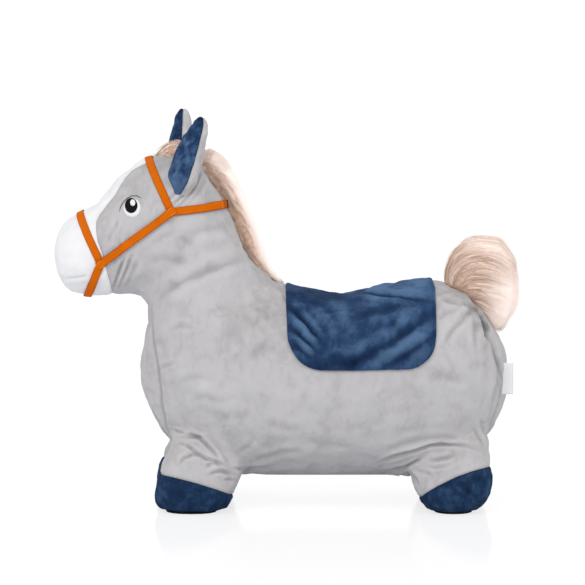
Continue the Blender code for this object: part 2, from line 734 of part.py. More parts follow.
def add_tag(body):
    x, z, y = TAG_PLACE_SHARE
    corner = place(x, z, y * TRUNK_WIDTH)
    low = corner - Vector((OVERRUN, TAG / 2, TAG_LENGTH / 2))
    high = corner + Vector((TAG_WIDTH, TAG / 2, TAG_LENGTH / 2))
    part = add_part("seam_tag", box_mesh("seam_tag", low, high), "tag_ribbon", body)
    boolean(part, "DIFFERENCE", TRUNK_AT[SEAM_GAP])


# The zip's own places: along X from its first tooth, and up from the belly

def zip_middle():
    return Vector((ZIP_PLACE_SHARE * TOY_LENGTH, 0, BELLY_SHARE * TOY_HEIGHT + PLUSH + ZIP_SEAT + TAPE / 2))


def tooth_place(index, side):
    shift = 0.25 if side > 0 else -0.25
    return (index - (ZIP_TEETH - 1) / 2 + shift) * TOOTH_PITCH


def bead_edge():
    return BEAD_EDGE_SHARE * TOOTH_PITCH


def slider_place():
    return tooth_place(ZIP_TEETH - 1, 1) + HEAD_SHARE * TOOTH_PITCH + SLIDER_PLAY


def chain_start():
    return tooth_place(0, -1) - TOOTH_PITCH / 2


def chain_end():
    return slider_place() + SLIDER_LENGTH / 2 + SLIDER_PLAY + 2 * STOP_LENGTH


def slider_channel():
    return TOOTH / 2 + SLIDER_PLAY


def slider_half_height():
    return slider_channel() + SLIDER_WALL


def comb_outline(side):
    # One row of teeth on its bead, seen from below; x along the zip, y towards its own side.
    edge = bead_edge()
    neck, head, tip = (share * TOOTH_PITCH for share in (NECK_SHARE, HEAD_SHARE, TIP_WIDTH_SHARE))
    reach, shoulder, end = (-share * TOOTH_PITCH for share in (NECK_END_SHARE, SHOULDER_SHARE, TIP_SHARE))
    points = [(chain_start(), edge + BEAD_WIDTH), (chain_start(), edge)]
    for index in range(ZIP_TEETH):
        x = tooth_place(index, side)
        points += [(x - neck, edge), (x - neck, reach), (x - head, shoulder), (x - tip, end),
                   (x + tip, end), (x + head, shoulder), (x + neck, reach), (x + neck, edge)]
    stop = chain_end() - 2 * STOP_LENGTH
    inside = STOP_INSIDE_SHARE * TOOTH_PITCH
    points += [(stop, edge), (stop, inside), (stop + STOP_LENGTH, inside), (stop + STOP_LENGTH, edge),
               (chain_end(), edge), (chain_end(), edge + BEAD_WIDTH)]
    return [(x, y * side) for x, y in points]


def add_zip(body):
    frame = Matrix.Translation(zip_middle())
    outer = bead_edge() + TAPE_WIDTH
    for side, name in ((-1, "zip_chain_left"), (1, "zip_chain_right")):
        mesh = prism_mesh(name, comb_outline(side), -TOOTH / 2, TOOTH / 2, frame)
        part = add_part(name, mesh, "zip_plastic", body)
        edges = sorted((side * (bead_edge() + BEAD_WIDTH / 2), side * outer))
        tape = box_mesh("tape", Vector((chain_start() - TAPE_END, edges[0], -TAPE / 2)),
                        Vector((chain_end() + TAPE_END, edges[1], TAPE / 2)), frame)
        boolean(part, "UNION", add_cutter(name + "_tape", tape))
    half = bead_edge() + BEAD_WIDTH / 4
    end = chain_start() - SEAM_GAP
    stop = box_mesh("zip_stop", Vector((end - STOP_LENGTH, -half, -TOOTH / 2)),
                    Vector((end, half, TOOTH / 2)), frame)
    add_part("zip_stop", stop, "zip_metal", body)


def cut_zip_slot(panel):
    middle = zip_middle()
    low = Vector((chain_start() - ZIP_SLOT_END, -ZIP_SLOT_WIDTH / 2, -middle.z))
    high = Vector((chain_end() + ZIP_SLOT_END, ZIP_SLOT_WIDTH / 2, ZIP_SLOT_WIDTH))
    slot = box_mesh("zip_slot", low, high, Matrix.Translation(middle))
    boolean(panel, "DIFFERENCE", add_cutter("zip_slot", slot))


def add_slider():
    centre = zip_middle() + Vector((slider_place(), 0, 0))
    body = add_body("zip_slider", centre)
    frame = Matrix.Translation(centre)
    half, tall, channel = SLIDER_LENGTH / 2, slider_half_height(), slider_channel()
    inside = bead_edge() + BEAD_WIDTH + SLIDER_PLAY
    outside = inside + SLIDER_WALL
    flared = outside + SLIDER_FLARE
    outline = [(-half, -outside), (half, -flared), (half, flared), (-half, outside)]
    block = prism_mesh("zip_slider", outline, -tall, tall, Matrix())
    part = add_part("zip_slider", block, "zip_metal", body, centre)
    end, divider = half + OVERRUN, DIVIDER_SHARE * bead_edge()
    passage = [(-end, -inside), (end, -inside), (end, -divider), (half, -divider), (0, 0),
               (half, divider), (end, divider), (end, inside), (-end, inside)]
    hollow = prism_mesh("zip_slider_channel", passage, -channel, channel, frame)
    boolean(part, "DIFFERENCE", add_cutter("zip_slider_channel", hollow))
    for side in (-1, 1):
        edges = sorted((side * (inside - SLIDER_PLAY), side * (outside + OVERRUN)))
        slot = box_mesh("tape_slot", Vector((-end, edges[0], -TAPE / 2 - SLIDER_PLAY)),
                        Vector((end, edges[1], TAPE / 2 + SLIDER_PLAY)), frame)
        boolean(part, "DIFFERENCE", add_cutter("tape_slot_%d" % side, slot))
    pin = centre - UP * (tall + PIN_DROP)
    eye = PULL_WIDTH / 4
    for side in (-1, 1):
        edges = sorted((side * (eye + EYE_PLAY), side * (eye + EYE_PLAY + LUG)))
        low = Vector((-LUG_LENGTH / 2, edges[0], -LUG))
        high = Vector((LUG_LENGTH / 2, edges[1], PIN_DROP + SLIDER_WALL / 2))
        lug = box_mesh("lug", low, high, Matrix.Translation(pin))
        boolean(part, "UNION", add_cutter("lug_%d" % side, lug))
    across = Matrix.Translation(pin) @ Matrix.Rotation(math.radians(90), 4, "X")
    reach = eye + EYE_PLAY + LUG / 2
    rod = rod_mesh("lug_pin", PIN_RADIUS, -reach, reach, across, EAR_SIDES)
    boolean(part, "UNION", add_cutter("lug_pin", rod))
    add_pull(pin, eye)


def add_pull(pin, eye):
    body = add_body("zip_pull", pin)
    hole = PIN_RADIUS + EYE_PLAY
    ring_radius = hole + EYE_WALL
    blade_top = ring_radius + EYE_PLAY
    flat = Matrix.Rotation(-math.radians(PULL_REST_DEG), 4, "Y")
    frame = Matrix.Translation(pin) @ flat
    across = frame @ Matrix.Rotation(math.radians(90), 4, "X")
    mesh = box_mesh("zip_pull", Vector((-PULL / 2, -PULL_WIDTH / 2, -PULL_LENGTH)),
                    Vector((PULL / 2, PULL_WIDTH / 2, -blade_top)), flat)
    part = add_part("zip_pull", mesh, "zip_metal", body, pin)
    low, high = Vector((-PULL / 2, -eye, -blade_top - PULL)), Vector((PULL / 2, eye, 0))
    boolean(part, "UNION", add_cutter("pull_neck", box_mesh("pull_neck", low, high, frame)))
    loop = rod_mesh("pull_eye", ring_radius, -eye, eye, across, HAIR_SIDES)
    boolean(part, "UNION", add_cutter("pull_eye", loop))
    bore = rod_mesh("pull_hole", hole, -PULL_WIDTH, PULL_WIDTH, across, HAIR_SIDES)
    boolean(part, "DIFFERENCE", add_cutter("pull_hole", bore))


# The bladder fills cover and legs. Its belly is drawn in over the zip, and a well in that
# hollow holds the air valve, so that the plug is reached through the open zip.

def pocket_top():
    return zip_middle().z + slider_half_height() + ZIP_HEADROOM


def well_top():
    return pocket_top() + WELL_DEPTH


def valve_centre():
    return Vector((VALVE_PLACE_SHARE * TOY_LENGTH, 0, well_top()))


def bladder_form(name, trunk, legs, depth):
    inset = PLUSH + BLADDER_GAP + depth
    form = add_cutter(name, trunk.coarser().solid(name, -inset))
    for leg_name, leg in legs.items():
        stub = add_cutter(name + "_" + leg_name, leg["loft"].coarser().solid(name, -inset))
        boolean(form, "UNION", stub)
    middle = zip_middle()
    side = bead_edge() + TAPE_WIDTH + ZIP_HEADROOM + depth
    end = TAPE_END + ZIP_HEADROOM + depth
    low = Vector((chain_start() - end, -side, -middle.z))
    high = Vector((chain_end() + end, side, pocket_top() + depth - middle.z))
    pocket = box_mesh("pocket", low, high, Matrix.Translation(middle))
    boolean(form, "DIFFERENCE", add_cutter(name + "_pocket", pocket))
    well = rod_mesh("well", WELL_RADIUS + depth, -WELL_DEPTH - OVERRUN, depth,
                    Matrix.Translation(valve_centre()), TURNED_SIDES)
    boolean(form, "DIFFERENCE", add_cutter(name + "_well", well))
    return form


def add_bladder(trunk, legs, body):
    space = bladder_form("bladder_space", trunk, legs, BLADDER_WALL)
    outside = bladder_form("air_bladder", trunk, legs, 0)
    outside.hide_render = False
    outside.display_type = "TEXTURED"
    CUTTERS.objects.unlink(outside)
    HORSE.objects.link(outside)
    outside.parent = body
    outside.data.materials.append(MATERIALS["bladder_vinyl"])
    hole = rod_mesh("valve_hole", VALVE_NECK + SEAM_GAP, -OVERRUN, OVERRUN,
                    Matrix.Translation(valve_centre()), TURNED_SIDES)
    boolean(outside, "DIFFERENCE", space, add_cutter("valve_hole", hole))


def add_valve(body):
    centre = valve_centre()
    under, over = -SEAM_GAP, BLADDER_WALL + SEAM_GAP
    rim = VALVE_NECK + VALVE_LIP_WIDTH
    seat = [(VALVE_BORE, over + VALVE_LIP), (rim, over + VALVE_LIP), (rim, over), (VALVE_NECK, over),
            (VALVE_NECK, under), (VALVE_FLANGE, under), (VALVE_FLANGE, under - VALVE_LIP),
            (VALVE_BORE, under - VALVE_LIP)]
    add_turned("valve_seat", seat, centre, "valve_rubber", body)
    low = under - VALVE_LIP - SEAM_GAP
    foot = VALVE_BORE - PLUG_PLAY
    end = low - VALVE_LIP - PLUG_KNOB_LENGTH
    plug = [(0, low + PLUG_LENGTH), (foot - PLUG_TAPER, low + PLUG_LENGTH), (foot, low), (PLUG_FLANGE, low),
            (PLUG_FLANGE, low - VALVE_LIP), (PLUG_KNOB, low - VALVE_LIP), (PLUG_KNOB, end), (0, end)]
    add_turned("valve_plug", plug, centre, "valve_rubber", add_body("valve_plug", centre))


def add_body(name, location=Vector()):
    body = bpy.data.objects.new(name + "_frame", None)
    body.location = location
    HORSE.objects.link(body)
    return body


# Build
clear_scene()
HORSE = new_collection("bouncy_ride_on_horse")
CUTTERS = new_collection("cutters")
MATERIALS = {name: make_material(name) for name in FINISHES}

feet = add_body("feet")
trunk_body = add_body("trunk")
TRUNK = make_trunk()
TRUNK_AT = {}
for lift in (SEAM_GAP, SEAM_GAP + STRAP, SEAM_GAP + SADDLE, SEAM_GAP + STITCHED_EYE):
    TRUNK_AT[lift] = add_cutter("trunk_at_%d" % len(TRUNK_AT), TRUNK.solid("trunk_at", lift))

LEGS = {}
for end, leg_shares in (("front", FRONT_LEG_SHARES), ("rear", REAR_LEG_SHARES)):
    for side in ("left", "right"):
        LEGS[end + "_" + side] = add_leg(end + "_" + side, leg_shares, side, TRUNK_AT[SEAM_GAP], feet)
cover = add_cover(TRUNK, LEGS, trunk_body)
cut_zip_slot(cover["belly_gusset"])
add_halter(trunk_body)
for side in ("left", "right"):
    add_eye(side, trunk_body)
    add_ear(side)
add_saddle(trunk_body)
add_hair(trunk_body)
add_tail()
add_tag(trunk_body)
add_zip(trunk_body)
add_slider()
add_bladder(TRUNK, LEGS, trunk_body)
add_valve(trunk_body)
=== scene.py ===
import math
import random

import bmesh
import bpy
import numpy as np
from mathutils import Matrix, Vector, noise
from mathutils.bvhtree import BVHTree


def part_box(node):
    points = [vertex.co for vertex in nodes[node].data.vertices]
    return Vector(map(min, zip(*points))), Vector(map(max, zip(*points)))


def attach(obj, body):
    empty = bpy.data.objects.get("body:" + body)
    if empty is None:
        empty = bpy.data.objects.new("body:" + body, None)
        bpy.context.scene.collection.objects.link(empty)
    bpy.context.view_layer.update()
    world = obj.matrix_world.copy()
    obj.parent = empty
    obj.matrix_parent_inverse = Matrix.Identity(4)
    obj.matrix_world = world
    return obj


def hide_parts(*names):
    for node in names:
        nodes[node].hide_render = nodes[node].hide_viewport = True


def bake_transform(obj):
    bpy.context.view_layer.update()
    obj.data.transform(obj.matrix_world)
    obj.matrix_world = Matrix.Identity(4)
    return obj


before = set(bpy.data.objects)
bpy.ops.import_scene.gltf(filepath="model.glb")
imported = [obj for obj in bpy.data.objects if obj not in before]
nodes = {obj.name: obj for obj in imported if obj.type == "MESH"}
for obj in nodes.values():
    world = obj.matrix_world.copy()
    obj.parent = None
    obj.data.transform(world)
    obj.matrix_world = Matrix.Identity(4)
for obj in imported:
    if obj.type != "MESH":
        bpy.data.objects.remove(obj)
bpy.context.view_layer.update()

toyLength = 0.647
toyHeight = 0.547

# The side view's own units: pixels of a 585 frame whose middle looks at one point of the toy
# from six metres away, a little from above
view = {"perMetreAcross": 714.07, "perMetreUp": 710.4, "across": 292.5, "up": 292.45,
        "aimX": 0.0091, "aimZ": 0.2961, "tilt": 0.1051, "distance": 6.0}


def toView(points):
    # Both sides are read as if they were the near one, so that each detail comes twice.
    points = np.asarray(points, float)
    depth = np.abs(points[:, 1])
    nearer = 1 + depth / view["distance"]
    across = view["across"] + (points[:, 0] - view["aimX"]) * view["perMetreAcross"] * nearer
    up = view["up"] - (points[:, 2] - view["tilt"] * depth - view["aimZ"]) * view["perMetreUp"] * nearer
    return np.stack([across, up], 1)


def fromView(across, up, depth=0.0):
    nearer = 1 + abs(depth) / view["distance"]
    return (view["aimX"] + (across - view["across"]) / (view["perMetreAcross"] * nearer),
            view["aimZ"] + (view["up"] - up) / (view["perMetreUp"] * nearer) + view["tilt"] * abs(depth))


def share(x, z, y=0.0):
    return Vector((x * toyLength, y, z * toyHeight))


def within(value, low=0.0, high=1.0):
    return min(high, max(low, value))


# Shader helpers
class Value:
    # A socket that can stand in a sum, so that shader maths reads like maths.
    def __init__(self, paint, socket):
        self.paint, self.socket = paint, socket

    def maths(self, operation, other=None, swapped=False):
        terms = [self] if other is None else ([other, self] if swapped else [self, other])
        return self.paint.add("Math", {"operation": operation}, dict(enumerate(terms)))

    def __add__(self, other):
        return self.maths("ADD", other)

    def __sub__(self, other):
        return self.maths("SUBTRACT", other)

    def __rsub__(self, other):
        return self.maths("SUBTRACT", other, True)

    def __mul__(self, other):
        return self.maths("MULTIPLY", other)

    def __gt__(self, other):
        return self.maths("GREATER_THAN", other)

    def __lt__(self, other):
        return self.maths("LESS_THAN", other)

    def __abs__(self):
        return self.maths("ABSOLUTE")

    __radd__ = __add__
    __rmul__ = __mul__

    def wave(self):
        return self.maths("SINE")

    def kept(self):
        return self.paint.add("Clamp", {}, {"Value": self})

    def step(self, start, end):
        return self.paint.add("MapRange", {"interpolation_type": "SMOOTHSTEP"},
                              {"Value": self, "From Min": start, "From Max": end})


class Nodes:
    # A node tree, with one method that adds any node to it.
    def __init__(self, tree):
        self.tree = tree

    def add(self, kind, settings, inputs, output=0):
        node = self.tree.nodes.new("ShaderNode" + kind)
        for setting, value in settings.items():
            setattr(node, setting, value)
        for socket, value in inputs.items():
            self.fill(node.inputs[socket], value)
        return Value(self, node.outputs[output])

    def fill(self, socket, value):
        if isinstance(value, Value):
            self.tree.links.new(value.socket, socket)
        else:
            socket.default_value = value

    def parts(self, vector):
        split = self.add("SeparateXYZ", {}, {0: vector})
        return [Value(self, output) for output in split.socket.node.outputs]


class Paint(Nodes):
    # One material, with its Principled shader ready.
    def __init__(self, name, roughness=0.8, metallic=0.0, **fixed):
        self.material = bpy.data.materials.new(name)
        self.material.use_nodes = True
        super().__init__(self.material.node_tree)
        self.shader = self.tree.nodes["Principled BSDF"]
        self.shader.inputs["Roughness"].default_value = roughness
        self.shader.inputs["Metallic"].default_value = metallic
        for socket, value in fixed.items():
            self.shader.inputs[socket.replace("_", " ")].default_value = value

    def set(self, socket, value):
        self.fill(self.shader.inputs[socket], value)

    def place(self):
        return self.add("TexCoord", {}, {}, "Object")

    def stretched(self, size, turn=(0, 0, 0)):
        return self.add("Mapping", {}, {"Vector": self.place(), "Scale": size, "Rotation": turn})

    def noise(self, scale, detail=2, roughness=0.5, vector=None, distortion=0.0):
        inputs = {"Scale": scale, "Detail": detail, "Roughness": roughness, "Distortion": distortion,
                  "Vector": vector or self.place()}
        return self.add("TexNoise", {}, inputs, 0)

    def measured(self, name):
        return self.add("Attribute", {"attribute_name": name}, {}, "Fac")

    def mix(self, amount, first, second):
        return self.add("MixRGB", {}, {"Fac": amount, "Color1": first, "Color2": second})

    def bump(self, height, distance, strength=1.0, below=None):
        inputs = {"Height": height, "Distance": distance, "Strength": strength}
        if below is not None:
            inputs["Normal"] = below
        return self.add("Bump", {}, inputs)


def screen(red, green, blue):
    # A colour as it shows on screen, 0 to 255, as the shader wants it.
    def one(channel):
        channel = channel / 255
        return channel / 12.92 if channel <= 0.04045 else ((channel + 0.055) / 1.055) ** 2.4
    return (one(red), one(green), one(blue), 1)


# Mesh helpers
def deselect():
    if bpy.context.object and bpy.context.object.mode != "OBJECT":
        bpy.ops.object.mode_set(mode="OBJECT")
    bpy.ops.object.select_all(action="DESELECT")


def pick(piece):
    deselect()
    piece.select_set(True)
    bpy.context.view_layer.objects.active = piece
    return piece


def newPiece(name, mesh, material=None):
    piece = bpy.data.objects.new(name, mesh)
    bpy.context.scene.collection.objects.link(piece)
    if material:
        mesh.materials.append(material)
    return piece


def bake(piece, kind, **settings):
    pick(piece)
    step = piece.modifiers.new(kind.title(), kind)
    for setting, value in settings.items():
        setattr(step, setting, value)
    bpy.ops.object.modifier_apply(modifier=step.name)
    return piece


def nodeCopy(names):
    # The CAD nodes' own triangles, merged, as a new bmesh.
    copy = bmesh.new()
    for name in names:
        copy.from_mesh(nodes[name].data)
    bmesh.ops.remove_doubles(copy, verts=copy.verts, dist=0.00001)
    return copy


def meshOf(shape, name):
    mesh = bpy.data.meshes.new(name)
    shape.to_mesh(mesh)
    shape.free()
    return mesh


def coordinates(mesh):
    points = np.empty(len(mesh.vertices) * 3)
    mesh.vertices.foreach_get("co", points)
    return points.reshape(-1, 3)


def vertexNormals(mesh):
    normals = np.empty(len(mesh.vertices) * 3, np.float32)
    mesh.vertex_normals.foreach_get("vector", normals)
    return normals.reshape(-1, 3).astype(float)


def moveTo(mesh, points):
    mesh.vertices.foreach_set("co", np.ascontiguousarray(points, np.float32).ravel())
    mesh.update()


def measure(mesh, name, values):
    layer = mesh.attributes.get(name) or mesh.attributes.new(name, "FLOAT", "POINT")
    layer.data.foreach_set("value", np.asarray(values, np.float32))


def outwardMesh(name, points, faces, weld=0.0):
    # A mesh from points and faces, with its faces turned out.
    mesh = bpy.data.meshes.new(name)
    mesh.from_pydata(points, [], faces)
    shape = bmesh.new()
    shape.from_mesh(mesh)
    if weld:
        bmesh.ops.remove_doubles(shape, verts=shape.verts, dist=weld)
    bmesh.ops.recalc_face_normals(shape, faces=shape.faces)
    shape.to_mesh(mesh)
    shape.free()
    return mesh


def inOrder(mesh):
    # A new sphere lists its faces in another order each run, and a cloth made from it would differ.
    faces = [tuple(face.vertices) for face in mesh.polygons]
    faces = sorted(face[face.index(min(face)):] + face[:face.index(min(face))] for face in faces)
    ordered = bpy.data.meshes.new(mesh.name)
    ordered.from_pydata(coordinates(mesh), [], faces)
    return ordered


def smooth(piece):
    piece.data.shade_smooth()
    return piece


def smoothUnder(piece, degrees):
    # Smooth, apart from edges that are sharper than this.
    smooth(piece)
    pick(piece)
    bpy.ops.object.shade_smooth_by_angle(angle=math.radians(degrees))
    return piece


def finish(piece, body, slot, *replaced):
    if body:
        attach(piece, body)
    if replaced:
        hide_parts(*replaced)
    return piece


def lineDistance(points, line):
    # Distance of each point to a line of corners, and how far along it the nearest place is.
    best = np.full(len(points), np.inf)
    along = np.zeros(len(points))
    line = np.asarray(line, float)
    lengths = np.linalg.norm(np.diff(line, axis=0), axis=1)
    total, done = lengths.sum(), 0.0
    for start, end, length in zip(line, line[1:], lengths):
        way = (end - start) / length
        t = np.clip((points - start) @ way, 0, length)
        d = np.linalg.norm(points - (start + t[:, None] * way), axis=1)
        near = d < best
        best[near] = d[near]
        along[near] = (done + t[near]) / total
        done += length
    return best, along


def sideOf(points, line):
    # Signed distance to a line drawn downwards: above 0 on its right.
    line = np.asarray(line, float)
    d, _ = lineDistance(points, line)
    across = np.interp(points[:, 1], line[:, 1], line[:, 0])
    return np.where(points[:, 0] > across, d, -d)


def softNoise(points, scale, seed):
    shift = Vector((seed * 3.1, seed * 7.7, seed * 1.3))
    values = np.empty(len(points))
    for i, p in enumerate(points * scale):
        values[i] = noise.fractal(Vector(p) + shift, 0.6, 2.0, 2)
    return values


# Camera
cameraLook = {"distance": 6.0, "rise": 6.0, "width": 0.8192, "aim": (0.0091, 0.0, 0.2961)}


def makeCamera():
    data = bpy.data.cameras.new("camera")
    data.sensor_width = 36
    data.lens = 36 * cameraLook["distance"] / cameraLook["width"]
    camera = bpy.data.objects.new("camera", data)
    bpy.context.scene.collection.objects.link(camera)
    rise = math.radians(cameraLook["rise"])
    back = Vector((0, -math.cos(rise), math.sin(rise)))
    camera.location = Vector(cameraLook["aim"]) + back * cameraLook["distance"]
    camera.rotation_euler = (math.radians(90) - rise, 0, 0)
    bpy.context.scene.camera = camera


makeCamera()
print("camera placed")

# Materials
# Colours as they show on screen, size of the brushed patches per metre and how much they differ. The dark
# colour also serves as painted shade in folds and seams, and the pale one as a painted highlight on fold
# ridges.
plushLook = {
    "greyPlush": {"middle": (191, 189, 190), "darkAndShade": (140, 137, 138), "pale": (208, 206, 207),
                  "patch": 26, "contrast": 0.75, "sheen": 0.2},
    "whitePlush": {"middle": (240, 240, 241), "darkAndShade": (214, 214, 219), "pale": (246, 246, 247),
                   "patch": 22, "contrast": 0.5, "sheen": 0.1},
    "blueVelvet": {"middle": (38, 62, 97), "darkAndShade": (12, 31, 58), "pale": (84, 114, 150),
                   "patch": 30, "contrast": 1.1, "sheen": 0.2},
    # The hooves' velvet is the blue velvet made darker: painted shade on the low hooves
    "hoofVelvet": {"middle": (27, 50, 80), "darkAndShade": (9, 26, 48), "pale": (60, 90, 124),
                   "patch": 50, "contrast": 1.3, "sheen": 0.2},
}
pileLook = {"smudge": 2.6, "grain": 1300, "tuft": 420, "height": 0.0007}


def plush(name):
    # Short pile: soft patches where it was brushed another way and fine grain, with painted shade in folds,
    # along seams and on faces that look up or down, and painted highlights on the ridges beside folds.
    look = plushLook[name]
    middle, dark, light = (screen(*look[word]) for word in ("middle", "darkAndShade", "pale"))
    paint = Paint(name, roughness=0.9, Sheen_Weight=look["sheen"], Sheen_Roughness=0.4, Sheen_Tint=light,
                  Specular_IOR_Level=0.1)
    cloud = paint.noise(look["patch"], 2, 0.5, distortion=0.6)
    slanted = paint.stretched((1, 1, 0.6), (0, 0.9, 0))
    smudge = paint.noise(look["patch"] * pileLook["smudge"], 3, 0.6, slanted, 1.0)
    grain = paint.noise(pileLook["grain"], 2, 0.7)
    seamShade, creaseShade, napAndShade = (paint.measured(word) for word in ("seamShade", "creaseShade", "napAndShade"))
    tone = ((cloud - 0.5) * 1.3 + (smudge - 0.5) * 1.1 + (grain - 0.5) * 0.5) * look["contrast"] + napAndShade
    colour = paint.mix((tone * -1).kept(), middle, dark)
    colour = paint.mix(tone.kept() * 0.9, colour, light)
    colour = paint.mix((seamShade * 0.6 + creaseShade * 0.5).kept(), colour, dark)
    paint.set("Base Color", colour)
    height = grain * 0.6 + paint.noise(pileLook["tuft"], 2, 0.6) * 0.5 + smudge * 0.8
    paint.set("Normal", paint.bump(height, pileLook["height"], 0.5))
    return paint.material


greyPlush, whitePlush, blueVelvet, hoofVelvet = (plush(name) for name in plushLook)

# Colours of the hair: under is painted shade where hair meets the body, rim painted light on the outer hair,
# lit the colour of the painted glow
hairColours = {"root": screen(190, 156, 132), "lock": screen(255, 234, 220), "tip": screen(255, 240, 231),
               "under": screen(146, 112, 90), "rim": screen(255, 246, 241), "lit": screen(255, 247, 243),
               "sheen": screen(255, 238, 230)}


def hairPaint():
    # Locks differ in tone, with painted shade between locks. The pile is warm and deep at the root and pale
    # at the tip. Painted shade darkens the hair where it meets the body, and painted light pales its outer
    # rim.
    paint = Paint("creamHair", roughness=0.7, Sheen_Weight=0.35, Sheen_Roughness=0.5,
                  Sheen_Tint=hairColours["sheen"], Specular_IOR_Level=0.1, Emission_Strength=0.3)
    tone, along, outer = (paint.measured(word) for word in ("tone", "along", "outer"))
    colour = paint.mix(tone, hairColours["root"], hairColours["lock"])
    colour = paint.mix(along.step(0.4, 1.0) * 0.45, colour, hairColours["tip"])
    colour = paint.mix((outer * -1).kept(), colour, hairColours["under"])
    colour = paint.mix(outer.kept(), colour, hairColours["rim"])
    paint.set("Base Color", colour)
    # Painted glow: the hair emits a dim copy of its colour, and its outer rim a pale glow
    dim = paint.mix(0.7, colour, screen(0, 0, 0))
    paint.set("Emission Color", paint.mix(outer.kept(), dim, hairColours["lit"]))
    paint.set("Normal", paint.bump(paint.noise(900, 2, 0.6), 0.0002, 0.3))
    return paint.material


creamHair = hairPaint()

webbingLook = {"dark": screen(200, 88, 0), "light": screen(228, 116, 6), "edge": screen(146, 56, 2),
               "stitch": screen(242, 146, 56), "tip": screen(58, 34, 26), "ribs": 7.5, "twill": 5.2,
               "edgeFrom": 4.1, "edgeTo": 5.3}


def webbing():
    # Ribbed tape: u runs along the strap and v across it, both in millimetres.
    paint = Paint("orangeWebbing", roughness=0.7, Specular_IOR_Level=0.06)
    u, v, _ = paint.parts(paint.add("UVMap", {"uv_map": "weave"}, {}))
    ribs = (u * webbingLook["ribs"]).wave() * 0.5 + 0.5
    twill = ((u + v * 0.9) * webbingLook["twill"]).wave() * 0.5 + 0.5
    edge = abs(v).step(webbingLook["edgeFrom"], webbingLook["edgeTo"])
    stitches = paint.measured("stitch")
    shade = paint.noise(60, 2, 0.5)
    colour = paint.mix((ribs * 0.35 + shade * 0.65).kept(), webbingLook["dark"], webbingLook["light"])
    colour = paint.mix(edge * 0.75, colour, webbingLook["edge"])
    colour = paint.mix(stitches.kept() * 0.7, colour, webbingLook["stitch"])
    colour = paint.mix(paint.measured("tip").kept(), colour, webbingLook["tip"])
    paint.set("Base Color", colour)
    below = paint.bump(ribs * 0.5 + twill * 0.5, 0.00025, 0.7)
    paint.set("Normal", paint.bump(stitches, 0.0006, 0.6, below))
    return paint.material


orangeWebbing = webbing()


def thread(name, light, dark, gloss):
    # Satin stitch: close threads laid side by side.
    paint = Paint(name, roughness=gloss, Specular_IOR_Level=0.12)
    x, y, z = paint.parts(paint.place())
    rows = ((x * 0.35 + z) * 9500).wave() * 0.5 + 0.5
    paint.set("Base Color", paint.mix(rows, dark, light))
    paint.set("Normal", paint.bump(rows + paint.noise(700, 2) * 0.6, 0.0002, 0.6))
    return paint.material


blackThread = thread("blackThread", screen(10, 10, 12), screen(3, 3, 4), 0.6)
whiteThread = thread("whiteThread", screen(244, 244, 244), screen(230, 230, 232), 0.5)
greyThread = thread("greyThread", screen(92, 90, 92), screen(60, 58, 60), 0.5)


def plain(name, light, dark, roughness, scale, depth, metallic=0.0, **fixed):
    paint = Paint(name, roughness, metallic, **fixed)
    worn = paint.noise(scale, 3, 0.6)
    fine = paint.noise(scale * 9, 2, 0.6)
    paint.set("Base Color", paint.mix(worn, dark, light))
    paint.set("Roughness", (worn * 0.2 + (roughness - 0.1)).kept())
    paint.set("Normal", paint.bump(fine + worn, depth, 0.5))
    return paint


bladderVinyl = plain("bladderVinyl", screen(128, 150, 172), screen(104, 126, 150), 0.32, 30, 0.0006,
                     Coat_Weight=0.3, Coat_Roughness=0.2).material
valveRubber = plain("valveRubber", screen(232, 228, 220), screen(206, 202, 194), 0.5, 240, 0.0002).material
zipMetal = plain("zipMetal", screen(196, 196, 200), screen(160, 160, 166), 0.3, 500, 0.00008, 1.0).material
soleGrip = plain("soleGrip", screen(30, 40, 56), screen(18, 26, 38), 0.8, 200, 0.0003).material


def zipTape():
    paint = Paint("zipTape", roughness=0.6, Specular_IOR_Level=0.3)
    x, y, z = paint.parts(paint.place())
    cloth = abs(y) > 0.0035
    weave = ((x * 5200).wave() * 0.5 + 0.5) * ((y * 5200).wave() * 0.5 + 0.5)
    teeth = paint.mix(paint.noise(600), screen(150, 152, 157), screen(168, 170, 175))
    fabric = paint.mix(weave, screen(132, 133, 136), screen(160, 161, 164))
    paint.set("Base Color", paint.mix(cloth, teeth, fabric))
    paint.set("Roughness", cloth * 0.45 + 0.4)
    paint.set("Normal", paint.bump(weave * cloth, 0.0003, 0.7))
    return paint.material


zipTapeCloth = zipTape()


def ribbonPaint():
    paint = Paint("tagRibbon", roughness=0.5, Sheen_Weight=0.2)
    x, y, z = paint.parts(paint.place())
    weave = ((z * 6200).wave() * 0.5 + 0.5) * 0.6 + ((x * 6200).wave() * 0.5 + 0.5) * 0.4
    paint.set("Base Color", paint.mix(weave, screen(222, 222, 226), screen(248, 248, 250)))
    paint.set("Normal", paint.bump(weave, 0.0002, 0.6))
    return paint.material


tagRibbon = ribbonPaint()
print("materials mixed")

# Plush skin
# Lengths in metres, widths along lines in view pixels. What is held stays put while the cover fills.
skinLook = {"voxel": 0.005, "smoothing": 14, "grow": 0.0004, "seamDepth": 0.0011, "pressure": 3.0,
            "reach": 0.0022, "plugWide": 0.022, "plugTall": 0.0025, "plugUp": 0.0013, "heldSole": 0.006,
            "heldZipWide": 0.026, "heldZipTall": 0.06, "heldPixels": 2.6, "heldEdge": 0.0035,
            "strip": 0.02, "legTop": 0.12, "midLength": 0.05, "headRear": -0.17, "headLow": 0.25,
            "fineDepth": 1.3, "finePixels": 1.6, "fineReach": 2.0, "seamPixels": 1.2, "edgeWidth": 0.0014,
            "puffReach": 0.005, "puff": 0.0012, "puffWave": 0.0014, "pucker": 0.0005, "satAt": 338,
            "satWide": 34, "satOn": 0.0042, "overFloor": 0.0012}
# A distance that stands for no line near
nowhere = 9.0

